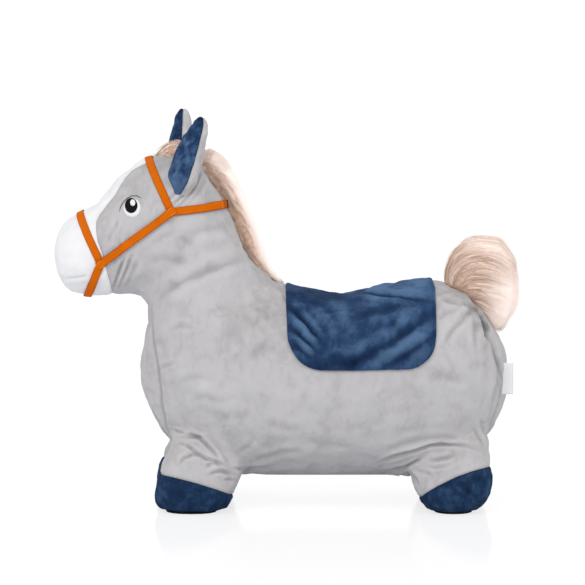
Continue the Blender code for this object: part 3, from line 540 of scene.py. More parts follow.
ends = ("front", "rear")
corners = [(end, side) for end in ends for side in ("left", "right")]
trunkPanels = ["body_side_left", "body_side_right", "back_gusset", "belly_gusset", "chest_gusset",
               "neck_side_left", "neck_side_right", "crest_gusset", "face_left", "face_right", "muzzle"]
coverNodes = trunkPanels + ["%s_%s_%s" % (kind, *corner) for kind in ("leg", "hoof") for corner in corners]

# Hoof tops: places of their front and rear end, how much the line bows up at the leg's sides,
# how far above it the leg gives way in a bounce, and where the leg starts and ends along the toy
legLook = {
    "front": {"hoofFront": (-0.273, 0.0975), "hoofRear": (-0.114, 0.0430), "bow": 0.0070,
              "reach": 0.024, "span": (-0.29, -0.10)},
    "rear": {"hoofFront": (0.283, 0.0345), "hoofRear": (0.434, 0.1130), "bow": 0.0125,
             "reach": 0.028, "span": (0.27, 0.46)},
    "middle": 0.082, "half": 0.040, "inner": 0.03, "top": 0.085, "margin": 0.006,
}

# Where the white blaze meets the grey, downwards
blazeLine = [(157, 120), (153, 158), (148, 163), (139, 167), (132, 171), (125, 178), (119, 188), (115, 195),
             (107, 205), (100, 214), (96.5, 222), (96.5, 232), (98, 242), (101, 250), (104.5, 261),
             (107, 272), (110, 282), (112.5, 294), (113, 320)]

# Seams that show on the side, then folds: corners in view pixels, half-width in pixels, depth in mm
sideSeams = [
    [(248.5, 250), (256, 257.5), (264, 265.5), (275, 280), (282, 292), (286.5, 303)],
    [(471, 305), (476, 315), (483, 328), (491, 342), (497, 360), (502, 382), (499, 402), (492, 420),
     (485, 444)],
    [(152, 302), (152, 320), (155, 345), (158, 370), (161, 400), (166, 425), (173, 441)],
    [(66, 278), (76, 277.5), (87, 275.5)],
]
folds = [
    ([(112.4, 290), (120, 269.5), (125.5, 256.5)], 1.7, 2.4),
    ([(118, 288), (127.6, 267.4), (133, 252)], 1.8, 2.0),
    ([(124, 289), (134, 270), (138, 258)], 2.4, 1.0),
    ([(107, 246), (112, 233), (120, 219)], 1.8, 1.0),
    ([(117.8, 217.2), (115.6, 243.4)], 1.8, 0.9),
    ([(122, 224), (119, 240), (122, 252)], 1.8, 0.8),
    ([(172.5, 206), (183, 196), (190, 187), (196.4, 175.7)], 1.6, 2.6),
    ([(180, 206), (193, 190), (200.6, 170)], 1.7, 2.2),
    ([(188, 205), (198, 192), (206, 176)], 2.0, 1.0),
    ([(167, 202), (173, 196), (180, 190)], 1.8, 1.2),
    ([(201.8, 167), (212.7, 182.3), (219.3, 192)], 1.8, 1.3),
    ([(210, 164), (219, 178), (225, 190)], 2.0, 0.8),
    ([(248, 257), (232, 263), (212.7, 269.5), (192, 277), (172, 288), (154, 303)], 4.6, 2.2),
    ([(232, 222), (216, 228), (196, 232), (176, 240)], 5.0, 1.1),
    ([(146, 262), (164, 258), (184, 262)], 4.0, 0.9),
    ([(150, 246), (164, 236), (176, 232)], 3.4, 0.8),
    ([(158.6, 369.2), (166, 366), (176, 363)], 1.8, 1.1),
    ([(166, 330), (180, 326), (196, 328)], 2.6, 0.8),
    ([(176, 383), (196, 377), (214, 380)], 3.4, 0.8),
    ([(190, 400), (206, 396), (220, 402), (236, 398)], 3.4, 0.8),
    ([(173, 430), (178, 432), (185, 433.5)], 1.5, 1.6),
    ([(151, 408), (158, 422), (167, 436), (174, 445)], 1.8, 1.6),
    ([(146, 398), (156, 420), (166, 437), (173, 446)], 1.5, 1.2),
    ([(182, 438), (190, 436), (199, 438), (206, 445), (214, 453), (220, 463)], 1.9, 2.4),
    ([(174.5, 447), (180, 444), (188, 447), (198, 455), (206, 460), (216, 462), (229, 469)], 1.7, 2.2),
    ([(177.5, 466), (183.6, 459), (193, 455), (201, 457.5)], 2.0, 2.3),
    ([(205, 468.5), (211, 464.5), (216, 464), (222, 468)], 1.7, 2.0),
    ([(207, 477), (214, 473), (222, 472), (232, 476)], 1.8, 2.1),
    ([(222, 481), (229, 480), (236, 482)], 1.5, 1.4),
    ([(210, 440), (222, 452), (229, 465)], 2.2, 1.0),
    ([(229, 469), (242, 470), (255, 468), (272, 466)], 1.7, 1.8),
    ([(240, 466), (262, 458), (286, 452), (306, 452)], 2.6, 1.1),
    ([(236, 455), (248, 447), (256, 437)], 2.4, 0.9),
    ([(262, 420), (282, 428), (306, 430)], 4.0, 0.8),
    ([(300, 440), (330, 446), (356, 444)], 5.0, 0.7),
    ([(371, 466), (395, 456.5), (412, 451.5), (430, 446), (442, 445), (465, 446), (482, 450.5)], 1.7, 2.8),
    ([(380, 474), (395, 470), (407, 466.7), (418.4, 460.8), (426, 456)], 1.7, 2.6),
    ([(428, 461), (437, 460.5), (446, 459), (455, 455.5)], 2.2, 2.0),
    ([(424, 466), (436, 468.5), (448, 466), (458, 461)], 1.8, 0.9),
    ([(407, 471), (412, 475), (416, 481), (418, 488)], 1.7, 1.7),
    ([(413, 470), (424, 473), (434, 476.5)], 2.0, 1.1),
    ([(400, 444), (420, 440), (444, 438), (462, 440)], 3.0, 1.0),
    ([(380, 452), (402, 445), (420, 441)], 2.6, 0.8),
    ([(473, 428), (479, 437), (484, 446)], 1.7, 1.4),
    ([(480, 418), (484, 430), (487, 440)], 1.7, 1.0),
    ([(471, 306), (477, 312), (482, 320), (485, 330), (488, 342)], 2.2, 3.4),
    ([(475, 307), (479, 313), (483, 323), (486, 336)], 1.3, 3.6),
    ([(489, 330), (494, 345), (497, 364), (498, 386), (492, 408), (486, 428)], 2.4, 1.3),
    ([(471, 309), (463, 320), (451, 333), (443, 348)], 3.0, 1.9),
    ([(468, 307), (455, 303), (440, 297)], 2.2, 1.4),
    ([(474, 313), (476, 330), (476, 352)], 2.4, 1.3),
    ([(462, 302), (468, 305.5), (475, 310)], 2.0, 3.0),
    ([(463, 308), (446, 313), (436, 322)], 2.6, 1.0),
    ([(432, 296), (446, 292), (456, 288)], 2.2, 0.9),
    ([(436, 372), (452, 380), (470, 380)], 4.0, 0.8),
    ([(444, 352), (452, 366), (454, 380)], 3.4, 0.7),
]
# Pile brushed darker or paler, and painted shade in the dark spots round the tail's root and down the rump's
# seam: middle and reach in view pixels, amount
brushedAndShaded = [
    ((186, 239), (9, 8), -0.75), ((176, 256), (7, 9), -0.45), ((172, 280), (9, 8), -0.55),
    ((196, 262), (16, 9), -0.35), ((214, 236), (18, 5), 0.35), ((206, 252), (18, 4), 0.3),
    ((246, 348), (44, 20), -0.28), ((214, 312), (28, 9), -0.34), ((262, 312), (22, 12), -0.3),
    ((232, 388), (26, 8), 0.25), ((190, 400), (20, 14), 0.2), ((160, 344), (4, 10), -0.5),
    ((168, 368), (9, 4), -0.5), ((232, 418), (16, 6), -0.3), ((330, 398), (50, 9), 0.2),
    ((300, 436), (40, 10), -0.22), ((404, 398), (26, 12), -0.3), ((452, 372), (14, 9), -0.35),
    ((448, 330), (10, 16), 0.3), ((462, 292), (14, 7), -0.3), ((483, 330), (4, 16), -0.8),
    ((473, 311), (4.5, 4), -2.2), ((480, 320), (3, 8), -1.6), ((486, 335), (2.2, 12), -1.3),
    ((500, 368), (4, 18), -0.6), ((118, 262), (6, 12), -0.3), ((210, 442), (12, 8), -0.3),
]

clothLook = {"quality": 4, "mass": 0.25, "bending_stiffness": 0.4, "shrink_min": -0.03, "use_pressure": True}
clothFrames = 18


def stuffed(piece, sewn, pressure, reach):
    # Filling presses the cloth out between its seams, and no point moves further than reach.
    start = coordinates(piece.data)
    group = piece.vertex_groups.new(name="sewn")
    group.add([int(i) for i in np.nonzero(sewn)[0]], 1.0, "REPLACE")
    pick(piece)
    cloth = piece.modifiers.new("Stuffing", "CLOTH")
    for setting, value in clothLook.items():
        setattr(cloth.settings, setting, value)
    cloth.settings.uniform_pressure_force = pressure
    cloth.settings.vertex_group_mass = "sewn"
    cloth.settings.effector_weights.gravity = 0
    cloth.collision_settings.use_collision = False
    for moment in range(1, clothFrames + 1):
        bpy.context.scene.frame_set(moment)
    bpy.ops.object.modifier_apply(modifier=cloth.name)
    bpy.context.scene.frame_set(1)
    piece.vertex_groups.clear()
    way = coordinates(piece.data) - start
    far = np.maximum(np.linalg.norm(way, axis=1), 1e-9)
    moveTo(piece.data, start + way * np.minimum(1, reach / far)[:, None])
    print("%s stuffed: %.1f mm on average, %.1f at most" % (piece.name, far.mean() * 1000, far.max() * 1000))


def skinSeams(points):
    # Where the cover is sewn or held: seams, hoof lines, soles and the zip.
    seen, aside = toView(points), np.abs(points[:, 1])
    held = (aside < skinLook["heldZipWide"]) & (points[:, 2] < skinLook["heldZipTall"])
    held |= points[:, 2] < skinLook["heldSole"]
    for line in sideSeams:
        held |= (lineDistance(seen, line)[0] < skinLook["heldPixels"]) & (aside > skinLook["strip"])
    held |= np.abs(blazeSide(points)) < skinLook["heldEdge"]
    for end in ends:
        held |= inLeg(points, end) & (np.abs(hoofHeight(points, end)) < skinLook["heldEdge"])
    return held


def skinSolid():
    # The cover's outside in one skin. A plug closes the zip's slot until cutZipSlot opens it.
    shape = nodeCopy(coverNodes)
    belly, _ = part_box("belly_gusset")
    low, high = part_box("zip_chain_left")
    plug = bmesh.ops.create_cube(shape, size=1)["verts"]
    middle = Matrix.Translation(((low.x + high.x) / 2, 0, belly.z + skinLook["plugUp"]))
    size = Matrix.Diagonal((high.x - low.x, skinLook["plugWide"], skinLook["plugTall"], 1))
    bmesh.ops.transform(shape, verts=plug, matrix=middle @ size)
    piece = newPiece("plushSkin", meshOf(shape, "plushSkin"))
    bake(piece, "REMESH", mode="VOXEL", voxel_size=skinLook["voxel"])
    bake(piece, "SMOOTH", factor=0.5, iterations=skinLook["smoothing"])
    stuffed(piece, skinSeams(coordinates(piece.data)), skinLook["pressure"], skinLook["reach"])
    bake(piece, "SUBSURF", levels=1, render_levels=1)
    return piece


def hoofPlane(end):
    front, rear = (share(*legLook[end][word]) for word in ("hoofFront", "hoofRear"))
    along = rear - front
    return (front + rear) / 2, Vector((-along.z, 0, along.x)).normalized()


def hoofHeight(points, end):
    # Height over the hoof's top line, which bows up at both sides of the leg.
    centre, normal = hoofPlane(end)
    out = np.clip((np.abs(points[:, 1]) - legLook["middle"]) / legLook["half"], -1.1, 1.1)
    return (points - np.array(centre)) @ np.array(normal) - legLook[end]["bow"] * out ** 2


def inLeg(points, end):
    first, last = (x * toyLength for x in legLook[end]["span"])
    return ((points[:, 2] < legLook["top"]) & (np.abs(points[:, 1]) > legLook["inner"])
            & (points[:, 0] > first - legLook["margin"]) & (points[:, 0] < last + legLook["margin"]))


def blazeSide(points):
    onHead = (points[:, 0] < skinLook["headRear"]) & (points[:, 2] > skinLook["headLow"])
    return np.where(onHead, sideOf(toView(points), blazeLine) / view["perMetreUp"], nowhere)


def cutLevel(shape, level, onLine=0.00006, nearLine=0.02):
    # Splits edges and faces exactly where a field changes sign, for a clean edge of colour.
    shape.verts.index_update()
    values = level(np.array([v.co for v in shape.verts]))
    marks = {v for v in shape.verts if abs(values[v.index]) < onLine}
    for edge in list(shape.edges):
        first, second = edge.verts
        a, b = values[first.index], values[second.index]
        if a * b < 0 and max(abs(a), abs(b)) < nearLine and first not in marks and second not in marks:
            marks.add(bmesh.utils.edge_split(edge, first, a / (a - b))[1])
    for face in list(shape.faces):
        cut = [v for v in face.verts if v in marks]
        if len(cut) == 2 and not any(e in cut[0].link_edges for e in cut[1].link_edges):
            bmesh.utils.face_split(face, cut[0], cut[1])


def refine(mesh):
    # Finer faces along the folds and seams, so that they stay crisp.
    shape = bmesh.new()
    shape.from_mesh(mesh)
    seen = toView([v.co for v in shape.verts])
    lines = [(line, width) for line, width, deep in folds if deep >= skinLook["fineDepth"]]
    lines += [(line, skinLook["finePixels"]) for line in sideSeams]
    near = np.min([lineDistance(seen, line)[0] / width for line, width in lines], axis=0)
    shape.verts.ensure_lookup_table()
    reach, strip = skinLook["fineReach"], skinLook["strip"]
    chosen = [e for e in shape.edges if all(near[v.index] < reach and abs(v.co.y) > strip for v in e.verts)]
    bmesh.ops.subdivide_edges(shape, edges=chosen, cuts=1, use_grid_fill=True, smooth=0.6)
    cutLevel(shape, blazeSide)
    for end in ends:
        cutLevel(shape, lambda p: np.where(inLeg(p, end), hoofHeight(p, end), nowhere))
    shape.to_mesh(mesh)
    shape.free()


def ripple(seen, seed):
    return np.sin(seen[:, 0] * 0.21 + seed * 1.9) * np.cos(seen[:, 1] * 0.17 + seed)


def foldFields(points, seen, table, look):
    # For each fold and side: its depth, the distance from it in half-widths, the ridge beside it and
    # how it fades out. The far side gets the same folds, a little shifted, so that it is no twin.
    side = np.sign(points[:, 1])
    for number, (line, width, deep) in enumerate(table):
        for sign in (-1, 1):
            shift = (0, 0) if sign < 0 else look["shift"](number)
            away, along = lineDistance(seen, np.asarray(line, float) + shift)
            away = away / width + ripple(seen, number + look["seed"]) * look["waver"]
            ridge = np.exp(-((away - look["ridgeAt"]) / look["ridgeWide"]) ** 2)
            fade = np.clip(np.minimum(along, 1 - along) * 4, look["least"], 1) * (side == sign)
            yield deep, away, ridge, fade


# How the skin's folds are shaped and painted: dark is painted shade in a fold's valley, pale a painted
# highlight on the ridge beside it
foldLook = {"seed": 0, "waver": 0.3, "ridgeAt": 2.0, "ridgeWide": 1.1, "least": 0.1, "depth": 0.0012,
            "ridge": 0.7, "dark": 0.44, "darkWide": 0.65, "darkMost": 2.6, "pale": 0.16, "paleMost": 2.0,
            "shift": lambda number: (3 * math.sin(number * 2.3), 2 * math.cos(number * 1.7))}


def shapeSkin(mesh):
    points, normals = coordinates(mesh), vertexNormals(mesh)
    seen = toView(points)
    depth, creaseShade, napAndShade, seamShade = (np.zeros(len(points)) for _ in range(4))
    outward = np.clip(np.abs(normals[:, 1]) * 2.0, 0, 1)
    # Folds are pressed in, with painted shade in their valleys and a painted highlight on the ridges beside
    # them
    for deep, away, ridge, fade in foldFields(points, seen, folds, foldLook):
        fade = fade * outward
        dark = np.exp(-(away / foldLook["darkWide"]) ** 2)
        depth += (ridge * foldLook["ridge"] - np.exp(-away ** 2)) * fade * deep * foldLook["depth"]
        creaseShade += dark * fade * min(deep, foldLook["darkMost"]) * foldLook["dark"]
        napAndShade += ridge * fade * min(deep, foldLook["paleMost"]) * foldLook["pale"]
    torn = 0.75 + softNoise(points, 45, 21) * 0.9
    for (across, up), (wide, tall), amount in brushedAndShaded:
        spot = np.exp(-((seen[:, 0] - across) / wide) ** 2 - ((seen[:, 1] - up) / tall) ** 2)
        napAndShade += spot * amount * outward * torn
    # Painted shade along the seams, the blaze's edge and the hoof lines, where grooves are also pressed in
    # below
    for line in sideSeams:
        away, along = lineDistance(seen, line)
        fade = np.clip(np.minimum(along, 1 - along) * 12, 0, 1) * outward
        seamShade = np.maximum(seamShade, np.exp(-(away / skinLook["seamPixels"]) ** 2) * fade)
    # Painted shade: pile that faces up or down is made darker
    napAndShade -= np.clip(normals[:, 2] - 0.25, 0, 1) * 0.42 + np.clip(-normals[:, 2] - 0.5, 0, 1) * 0.3
    seamShade = np.maximum(seamShade, np.exp(-(blazeSide(points) / skinLook["edgeWidth"]) ** 2) * 0.8)
    for end in ends:
        high, leg = hoofHeight(points, end), inLeg(points, end)
        seamShade = np.maximum(seamShade, np.exp(-(high / skinLook["edgeWidth"]) ** 2) * leg)
        puff = np.clip(-high / skinLook["puffReach"], 0, 1) * leg
        wave = softNoise(points * np.array([1, 1, 0.7]), 75, 8)
        depth += puff * (skinLook["puff"] + wave * skinLook["puffWave"])
        napAndShade += puff * softNoise(points, 60, 9) * 0.5
        # Short puckers run from the hoof's seam into both fabrics.
        pucker = np.abs(np.sin(points[:, 0] * 520 + points[:, 1] * 430 + ripple(seen, 7) * 1.5)) ** 3
        depth -= np.exp(-(high / skinLook["puffReach"]) ** 2) * leg * pucker * skinLook["pucker"]
    depth -= seamShade * skinLook["seamDepth"]
    depth += skinLook["grow"] + softNoise(points, 20, 1) * 0.0016 + softNoise(points, 60, 2) * 0.0007
    # The back dips where the child sits
    sat = np.exp(-((seen[:, 0] - skinLook["satAt"]) / skinLook["satWide"]) ** 2)
    depth -= sat * np.clip(normals[:, 2], 0, 1) ** 2 * (points[:, 2] > 0.2) * skinLook["satOn"]
    flat = np.clip((points[:, 2] - 0.001) / 0.006, 0, 1)
    belly = (np.abs(points[:, 1]) < 0.03) & (points[:, 2] < 0.06)
    depth = np.where(belly, skinLook["grow"] * 0.3, depth) * flat
    moved = points + normals * depth[:, None]
    moved[:, 2] = np.maximum(moved[:, 2], skinLook["overFloor"])
    moveTo(mesh, moved)
    measure(mesh, "seamShade", seamShade)
    measure(mesh, "creaseShade", np.clip(creaseShade, 0, 1))
    measure(mesh, "napAndShade", napAndShade)


def sortFaces(mesh):
    # Which piece each face belongs to, read before the folds move anything.
    groups = {corner: ["leg_%s_%s" % corner, "hoof_%s_%s" % corner] for corner in corners}
    trees = {}
    for name, group in [("trunk", trunkPanels), *groups.items()]:
        copy = nodeCopy(group)
        trees[name] = BVHTree.FromBMesh(copy)
        copy.free()
    centres = np.empty(len(mesh.polygons) * 3)
    mesh.polygons.foreach_get("center", centres)
    centres = centres.reshape(-1, 3)
    blaze = blazeSide(centres)
    high = {end: hoofHeight(centres, end) for end in ends}
    kinds = {}
    for index, centre in enumerate(centres):
        kind = "bodyPlush"
        if centre[2] < skinLook["legTop"] and abs(centre[1]) > skinLook["strip"]:
            corner = (ends[int(centre[0] > skinLook["midLength"])], "left" if centre[1] < 0 else "right")
            place = Vector(centre)
            if trees[corner].find_nearest(place)[3] < trees["trunk"].find_nearest(place)[3]:
                kind = ("hoof_%s_%s" if high[corner[0]][index] < 0 else "leg_%s_%s") % corner
        elif blaze[index] < 0:
            kind = "headWhite"
        kinds.setdefault(kind, set()).add(index)
    return kinds


def splitSkin(skin, kinds):
    # One piece for each colour and body. All keep the whole skin's normals, so no edge shows.
    mesh = skin.data
    normals = vertexNormals(mesh)
    made = {}
    for kind, keep in kinds.items():
        shape = bmesh.new()
        shape.from_mesh(mesh)
        shape.faces.ensure_lookup_table()
        layer = shape.verts.layers.float_vector.new("skinNormal")
        for vertex in shape.verts:
            vertex[layer] = normals[vertex.index]
        bmesh.ops.delete(shape, geom=[f for f in shape.faces if f.index not in keep], context="FACES")
        loose = [v for v in shape.verts if not v.link_faces]
        bmesh.ops.delete(shape, geom=loose, context="VERTS")
        kept = [Vector(v[layer]) for v in shape.verts]
        shape.verts.layers.float_vector.remove(layer)
        piece = newPiece(kind, meshOf(shape, kind))
        piece.data.shade_smooth()
        piece.data.normals_split_custom_set_from_vertices(kept)
        made[kind] = piece
    bpy.data.objects.remove(skin)
    return made


def treeOf(mesh):
    return BVHTree.FromPolygons([v.co for v in mesh.vertices], [tuple(p.vertices) for p in mesh.polygons])


def makeSkin():
    skin = skinSolid()
    refine(skin.data)
    kinds = sortFaces(skin.data)
    shapeSkin(skin.data)
    tree = treeOf(skin.data)
    made = splitSkin(skin, kinds)
    for name, piece in made.items():
        paint = {"headWhite": whitePlush, "hoof": hoofVelvet}.get(name.split("_")[0], greyPlush)
        piece.data.materials.clear()
        piece.data.materials.append(paint)
    cutZipSlot(made["bodyPlush"])
    finish(made["bodyPlush"], "trunk", "grey_plush", *[n for n in trunkPanels if n != "muzzle"])
    finish(made["headWhite"], "trunk", "white_plush", "muzzle")
    for end, side in corners:
        centre, normal = hoofPlane(end)
        for kind, word, slot in (("leg", "legPlush", "grey_plush"), ("hoof", "hoofVelvet", "blue_velvet")):
            node = "%s_%s_%s" % (kind, end, side)
            piece = made[node]
            piece.name = "%s_%s_%s" % (word, end, side)
            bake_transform(piece)
            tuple(centre)
            finish(piece, None, slot, node)
    return tree


# The opening of the belly over the zip: half its width, how much shorter than the chains it is,
# how far round it faces are cut, and how deep its edge turns in
slotLook = {"half": 0.0075, "short": 0.006, "aside": 0.016, "beyond": 0.008, "under": 0.05, "turned": 0.0026}


def cutZipSlot(piece):
    low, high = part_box("zip_chain_left")
    first, last = low.x + slotLook["short"], high.x - slotLook["short"]
    shape = bmesh.new()
    shape.from_mesh(piece.data)

    def facesIn(aside, beyond):
        return [f for f in shape.faces for c in [f.calc_center_median()]
                if c.z < slotLook["under"] and abs(c.y) < aside and first - beyond < c.x < last + beyond]
    cuts = [((x, 0, 0), (1, 0, 0)) for x in (first, last)]
    cuts += [((0, y, 0), (0, 1, 0)) for y in (-slotLook["half"], slotLook["half"])]
    for place, normal in cuts:
        faces = facesIn(slotLook["aside"], slotLook["beyond"])
        near = faces + list({e for f in faces for e in f.edges}) + list({v for f in faces for v in f.verts})
        bmesh.ops.bisect_plane(shape, geom=near, plane_co=place, plane_no=normal, dist=0.0001)
    inside = facesIn(slotLook["half"], 0)
    bmesh.ops.delete(shape, geom=inside, context="FACES")
    rim = [e for e in shape.edges if e.is_boundary
           and all(abs(v.co.y) < slotLook["half"] + 0.0001 and v.co.z < slotLook["under"] for v in e.verts)]
    for item in bmesh.ops.extrude_edge_only(shape, edges=rim)["geom"]:
        if isinstance(item, bmesh.types.BMVert):
            item.co.z += slotLook["turned"]
    shape.to_mesh(piece.data)
    shape.free()
    piece.data.shade_smooth()
    print("zip slot cut, %d faces out" % len(inside))


skinTree = makeSkin()
print("skin shaped")


def onSkin(x, z, side):
    # The skin's point and normal seen straight from one side.
    hit, normal, _, _ = skinTree.ray_cast(Vector((x, side * 0.3, z)), Vector((0, -side, 0)))
    return hit, normal


def grid(rows, columns):
    faces = []
    for i in range(rows - 1):
        for j in range(columns - 1):
            a = i * columns + j
            faces.append((a, a + 1, a + columns + 1, a + columns))
    return faces


# Saddle cloth
saddleLook = {"along": 96, "around": 150, "lift": 0.0016, "thick": 0.0022, "front": 0.010, "rear": 0.317,
              "hem": (0.3655, 0.3715), "frontCorner": (0.052, 0.050), "rearCorner": (0.040, 0.042),
              "middle": 0.34, "least": 0.0009, "swell": 0.0016, "bevel": 0.0008, "slack": 1.02}
# Valleys of the cloth: corners in view pixels, half-width in pixels, depth in mm
saddleFolds = [
    ([(286, 307), (296, 315), (305, 325.6), (317, 341), (326, 350)], 2.6, 3.0),
    ([(288, 328), (298, 335), (306, 343), (321, 354)], 2.4, 2.8),
    ([(292, 346), (302, 352), (312, 360)], 2.2, 1.4),
    ([(349, 295), (372, 297.5), (396, 301), (428, 302.5)], 2.0, 2.8),
    ([(434, 315), (424, 321), (413, 329), (393, 343), (369, 355), (342, 369)], 4.2, 2.8),
    ([(434, 337), (421.5, 345), (403, 358), (383, 367)], 3.2, 2.2),
    ([(430, 303), (412, 306), (393, 310), (372, 316), (352, 322)], 3.4, 1.7),
    ([(292, 292), (312, 297), (335, 300), (352, 301)], 4.5, 1.5),
    ([(330, 312), (340, 326), (342, 340)], 4.0, 1.2),
    ([(392, 318), (396, 330), (404, 340)], 4.4, 1.4),
    ([(322, 366), (345, 362), (366, 364)], 3.4, 1.2),
    ([(304, 304), (320, 308), (334, 318)], 3.0, 1.3),
]
# How the cloth's folds are shaped and painted: dark is painted shade in a valley, pale a painted highlight on
# the ridge beside it
saddleFoldLook = {"seed": 3, "waver": 0.35, "ridgeAt": 2.3, "ridgeWide": 1.3, "least": 0.2, "depth": 0.001,
                  "ridge": 1.3, "valley": 0.5, "dark": 0.25, "pale": 0.2,
                  "shift": lambda number: 4 * math.sin(number * 2.1)}


def saddleEdges(z):
    # Where the cloth starts and ends along the toy at a height, from its hem to its top.
    z = z / toyHeight
    front = np.interp(z, [0.30, 0.36, 0.66], [saddleLook["front"], saddleLook["front"], -0.002]) * toyLength
    rear = np.interp(z, [0.30, 0.56, 0.66], [saddleLook["rear"], saddleLook["rear"], 0.286]) * toyLength
    return front, rear


def saddleHem(x):
    # Lowest point of the cloth at each place along it, with its two round corners.
    front, rear = saddleEdges(saddleLook["hem"][0] * toyHeight + saddleLook["frontCorner"][1])
    base = np.interp(x, [front, rear], saddleLook["hem"]) * toyHeight
    for corner, sign, word in ((front, 1, "frontCorner"), (rear, -1, "rearCorner")):
        wide, tall = saddleLook[word]
        inside = (x - corner) * sign
        if inside < wide:
            t = 1 - max(inside, 0) / wide
            base += tall * (1 - math.sqrt(max(0, 1 - t ** 2.2)))
    return base


def saddlePoints():
    # Places on the skin in rows over the back, each from hem to hem.
    middle = saddleLook["middle"] * toyHeight

    def hit(x, angle):
        way = Vector((0, math.sin(angle), math.cos(angle)))
        found, normal, _, _ = skinTree.ray_cast(Vector((x, 0, middle)) + way * 0.4, -way)
        return found, normal
    rows, columns = saddleLook["along"], saddleLook["around"]
    points, normals = [], []
    for i in range(rows):
        u = 0.5 - 0.5 * math.cos(math.pi * i / (rows - 1))
        for j in range(columns):
            v = 2 * j / (columns - 1) - 1
            x = u * 0.2
            # The hem is found by halving, and the place along the toy by going round three times
            for _ in range(3):
                low, high = 0.3, 2.2
                hem = saddleHem(x)
                for _ in range(9):
                    angle = (low + high) / 2
                    if hit(x, angle)[0].z > hem:
                        low = angle
                    else:
                        high = angle
                found, normal = hit(x, low * v)
                front, rear = saddleEdges(found.z)
                x = front + (rear - front) * u
            points.append(found)
            normals.append(normal)
    return np.array(points), np.array(normals)


def flatSize(points):
    # Length, width over the back and area of the cloth as it lies.
    rows, columns = saddleLook["along"], saddleLook["around"]
    net = points.reshape(rows, columns, 3)
    wrap = np.linalg.norm(np.diff(net[rows // 2], axis=0), axis=1).sum()
    reach = np.linalg.norm(np.diff(net[:, columns // 4], axis=0), axis=1).sum()
    a, b, c, d = net[:-1, :-1], net[:-1, 1:], net[1:, 1:], net[1:, :-1]
    halves = [np.linalg.norm(np.cross(*pair), axis=2).sum() / 2 for pair in ((b - a, c - a), (c - a, d - a))]
    return reach, wrap, sum(halves)


def saddleShade(seen):
    # Painted light and shade: paler along the rear of the back where light falls on it, darker under the
    # front of it and over the front of the hem.
    crest = 294 + (seen[:, 0] - 350) * 0.11
    top = np.clip((seen[:, 0] - 345) / 12, 0, 1) * np.clip((crest - seen[:, 1]) / 2.5 + 0.5, 0, 1)
    under = np.clip((seen[:, 1] - 291) / 5, 0, 1) * np.clip((318 - seen[:, 1]) / 14, 0, 1)
    under *= np.clip((380 - seen[:, 0]) / 60, 0, 1)
    hem = np.clip((seen[:, 1] - 352) / 14, 0, 1) * np.clip((392 - seen[:, 0]) / 50, 0, 1)
    return top * 0.6 - under * 0.4 - hem * 0.45


def makeSaddle():
    rows, columns = saddleLook["along"], saddleLook["around"]
    points, normals = saddlePoints()
    seen = toView(points)
    depth = np.full(len(points), saddleLook["lift"])
    creaseShade, napAndShade = np.zeros(len(points)), np.zeros(len(points))
    look = saddleFoldLook
    # Valleys are pressed in with painted shade, and the ridges beside them raised with a painted highlight
    for deep, away, ridge, fade in foldFields(points, seen, saddleFolds, look):
        valley = np.exp(-away ** 2)
        depth += (ridge * look["ridge"] - valley * look["valley"]) * fade * deep * look["depth"]
        creaseShade += valley * fade * deep * look["dark"]
        napAndShade += (ridge - valley) * fade * deep * look["pale"]
    depth += (softNoise(points, 26, 5) + 0.5) * saddleLook["swell"]
    napAndShade += softNoise(points, 38, 15) * 0.3 + saddleShade(seen)
    u = np.repeat(np.linspace(0, 1, rows), columns)
    v = np.tile(np.linspace(0, 1, columns), rows)
    rim = np.minimum(np.minimum(u, 1 - u) * rows / 5, np.minimum(v, 1 - v) * columns / 5)
    least = saddleLook["least"]
    depth = least + (np.maximum(depth, least) - least) * np.clip(rim, 0, 1)
    mesh = bpy.data.meshes.new("saddleCloth")
    mesh.from_pydata((points + normals * depth[:, None]).tolist(), [], grid(rows, columns))
    piece = newPiece("saddleCloth", mesh, blueVelvet)
    # Painted shade along a line just inside the cloth's edge
    measure(mesh, "seamShade", np.exp(-((rim - 1.4) / 0.5) ** 2) * 0.5)
    measure(mesh, "creaseShade", np.clip(creaseShade, 0, 1))
    measure(mesh, "napAndShade", napAndShade)
    if np.sum(vertexNormals(mesh) * normals, axis=1).mean() < 0:
        mesh.flip_normals()
    bake(piece, "SOLIDIFY", thickness=saddleLook["thick"], offset=1.0, use_even_offset=False)
    bake(piece, "BEVEL", width=saddleLook["bevel"], segments=2, limit_method="ANGLE",
         angle_limit=math.radians(50))
    smooth(piece)
    finish(piece, "trunk", "blue_velvet", "saddle_cloth")
    reach, wrap, area = flatSize(points)
    print("saddle cloth %.3f x %.3f m, %.4f square metres" % (reach, wrap, area))


makeSaddle()
print("saddle cloth laid")

# Halter
halterLook = {"width": 0.011, "thick": 0.0014, "lift": 0.0004, "round": 0.0009, "edgeShare": 0.55,
              "stitchInset": 0.0012, "stitchWidth": 0.0005, "foldedEnd": 0.0136, "foldShade": 0.22,
              "tip": 0.0028, "overlap": 0.0055, "step": 0.0012, "rows": 110, "columns": 11, "core": 0.012}
# Where straps meet, in shares of the toy's length and height
halterPoints = {"noseTop": (-0.4380, 0.7315), "bit": (-0.3965, 0.6255), "chin": (-0.4265, 0.5435),
                "temple": (-0.2445, 0.7590), "brow": (-0.2944, 0.8850), "crown": (-0.1325, 0.7725)}
# Boxes of stitches: their ends along a strap, from its start, or from its end where below 0
bothBoxes = [(0.0015, 0.0095), (-0.0015, -0.0095)]
foldedBoxes = [(0.0015, 0.0095), (-0.0138, -0.0150)]


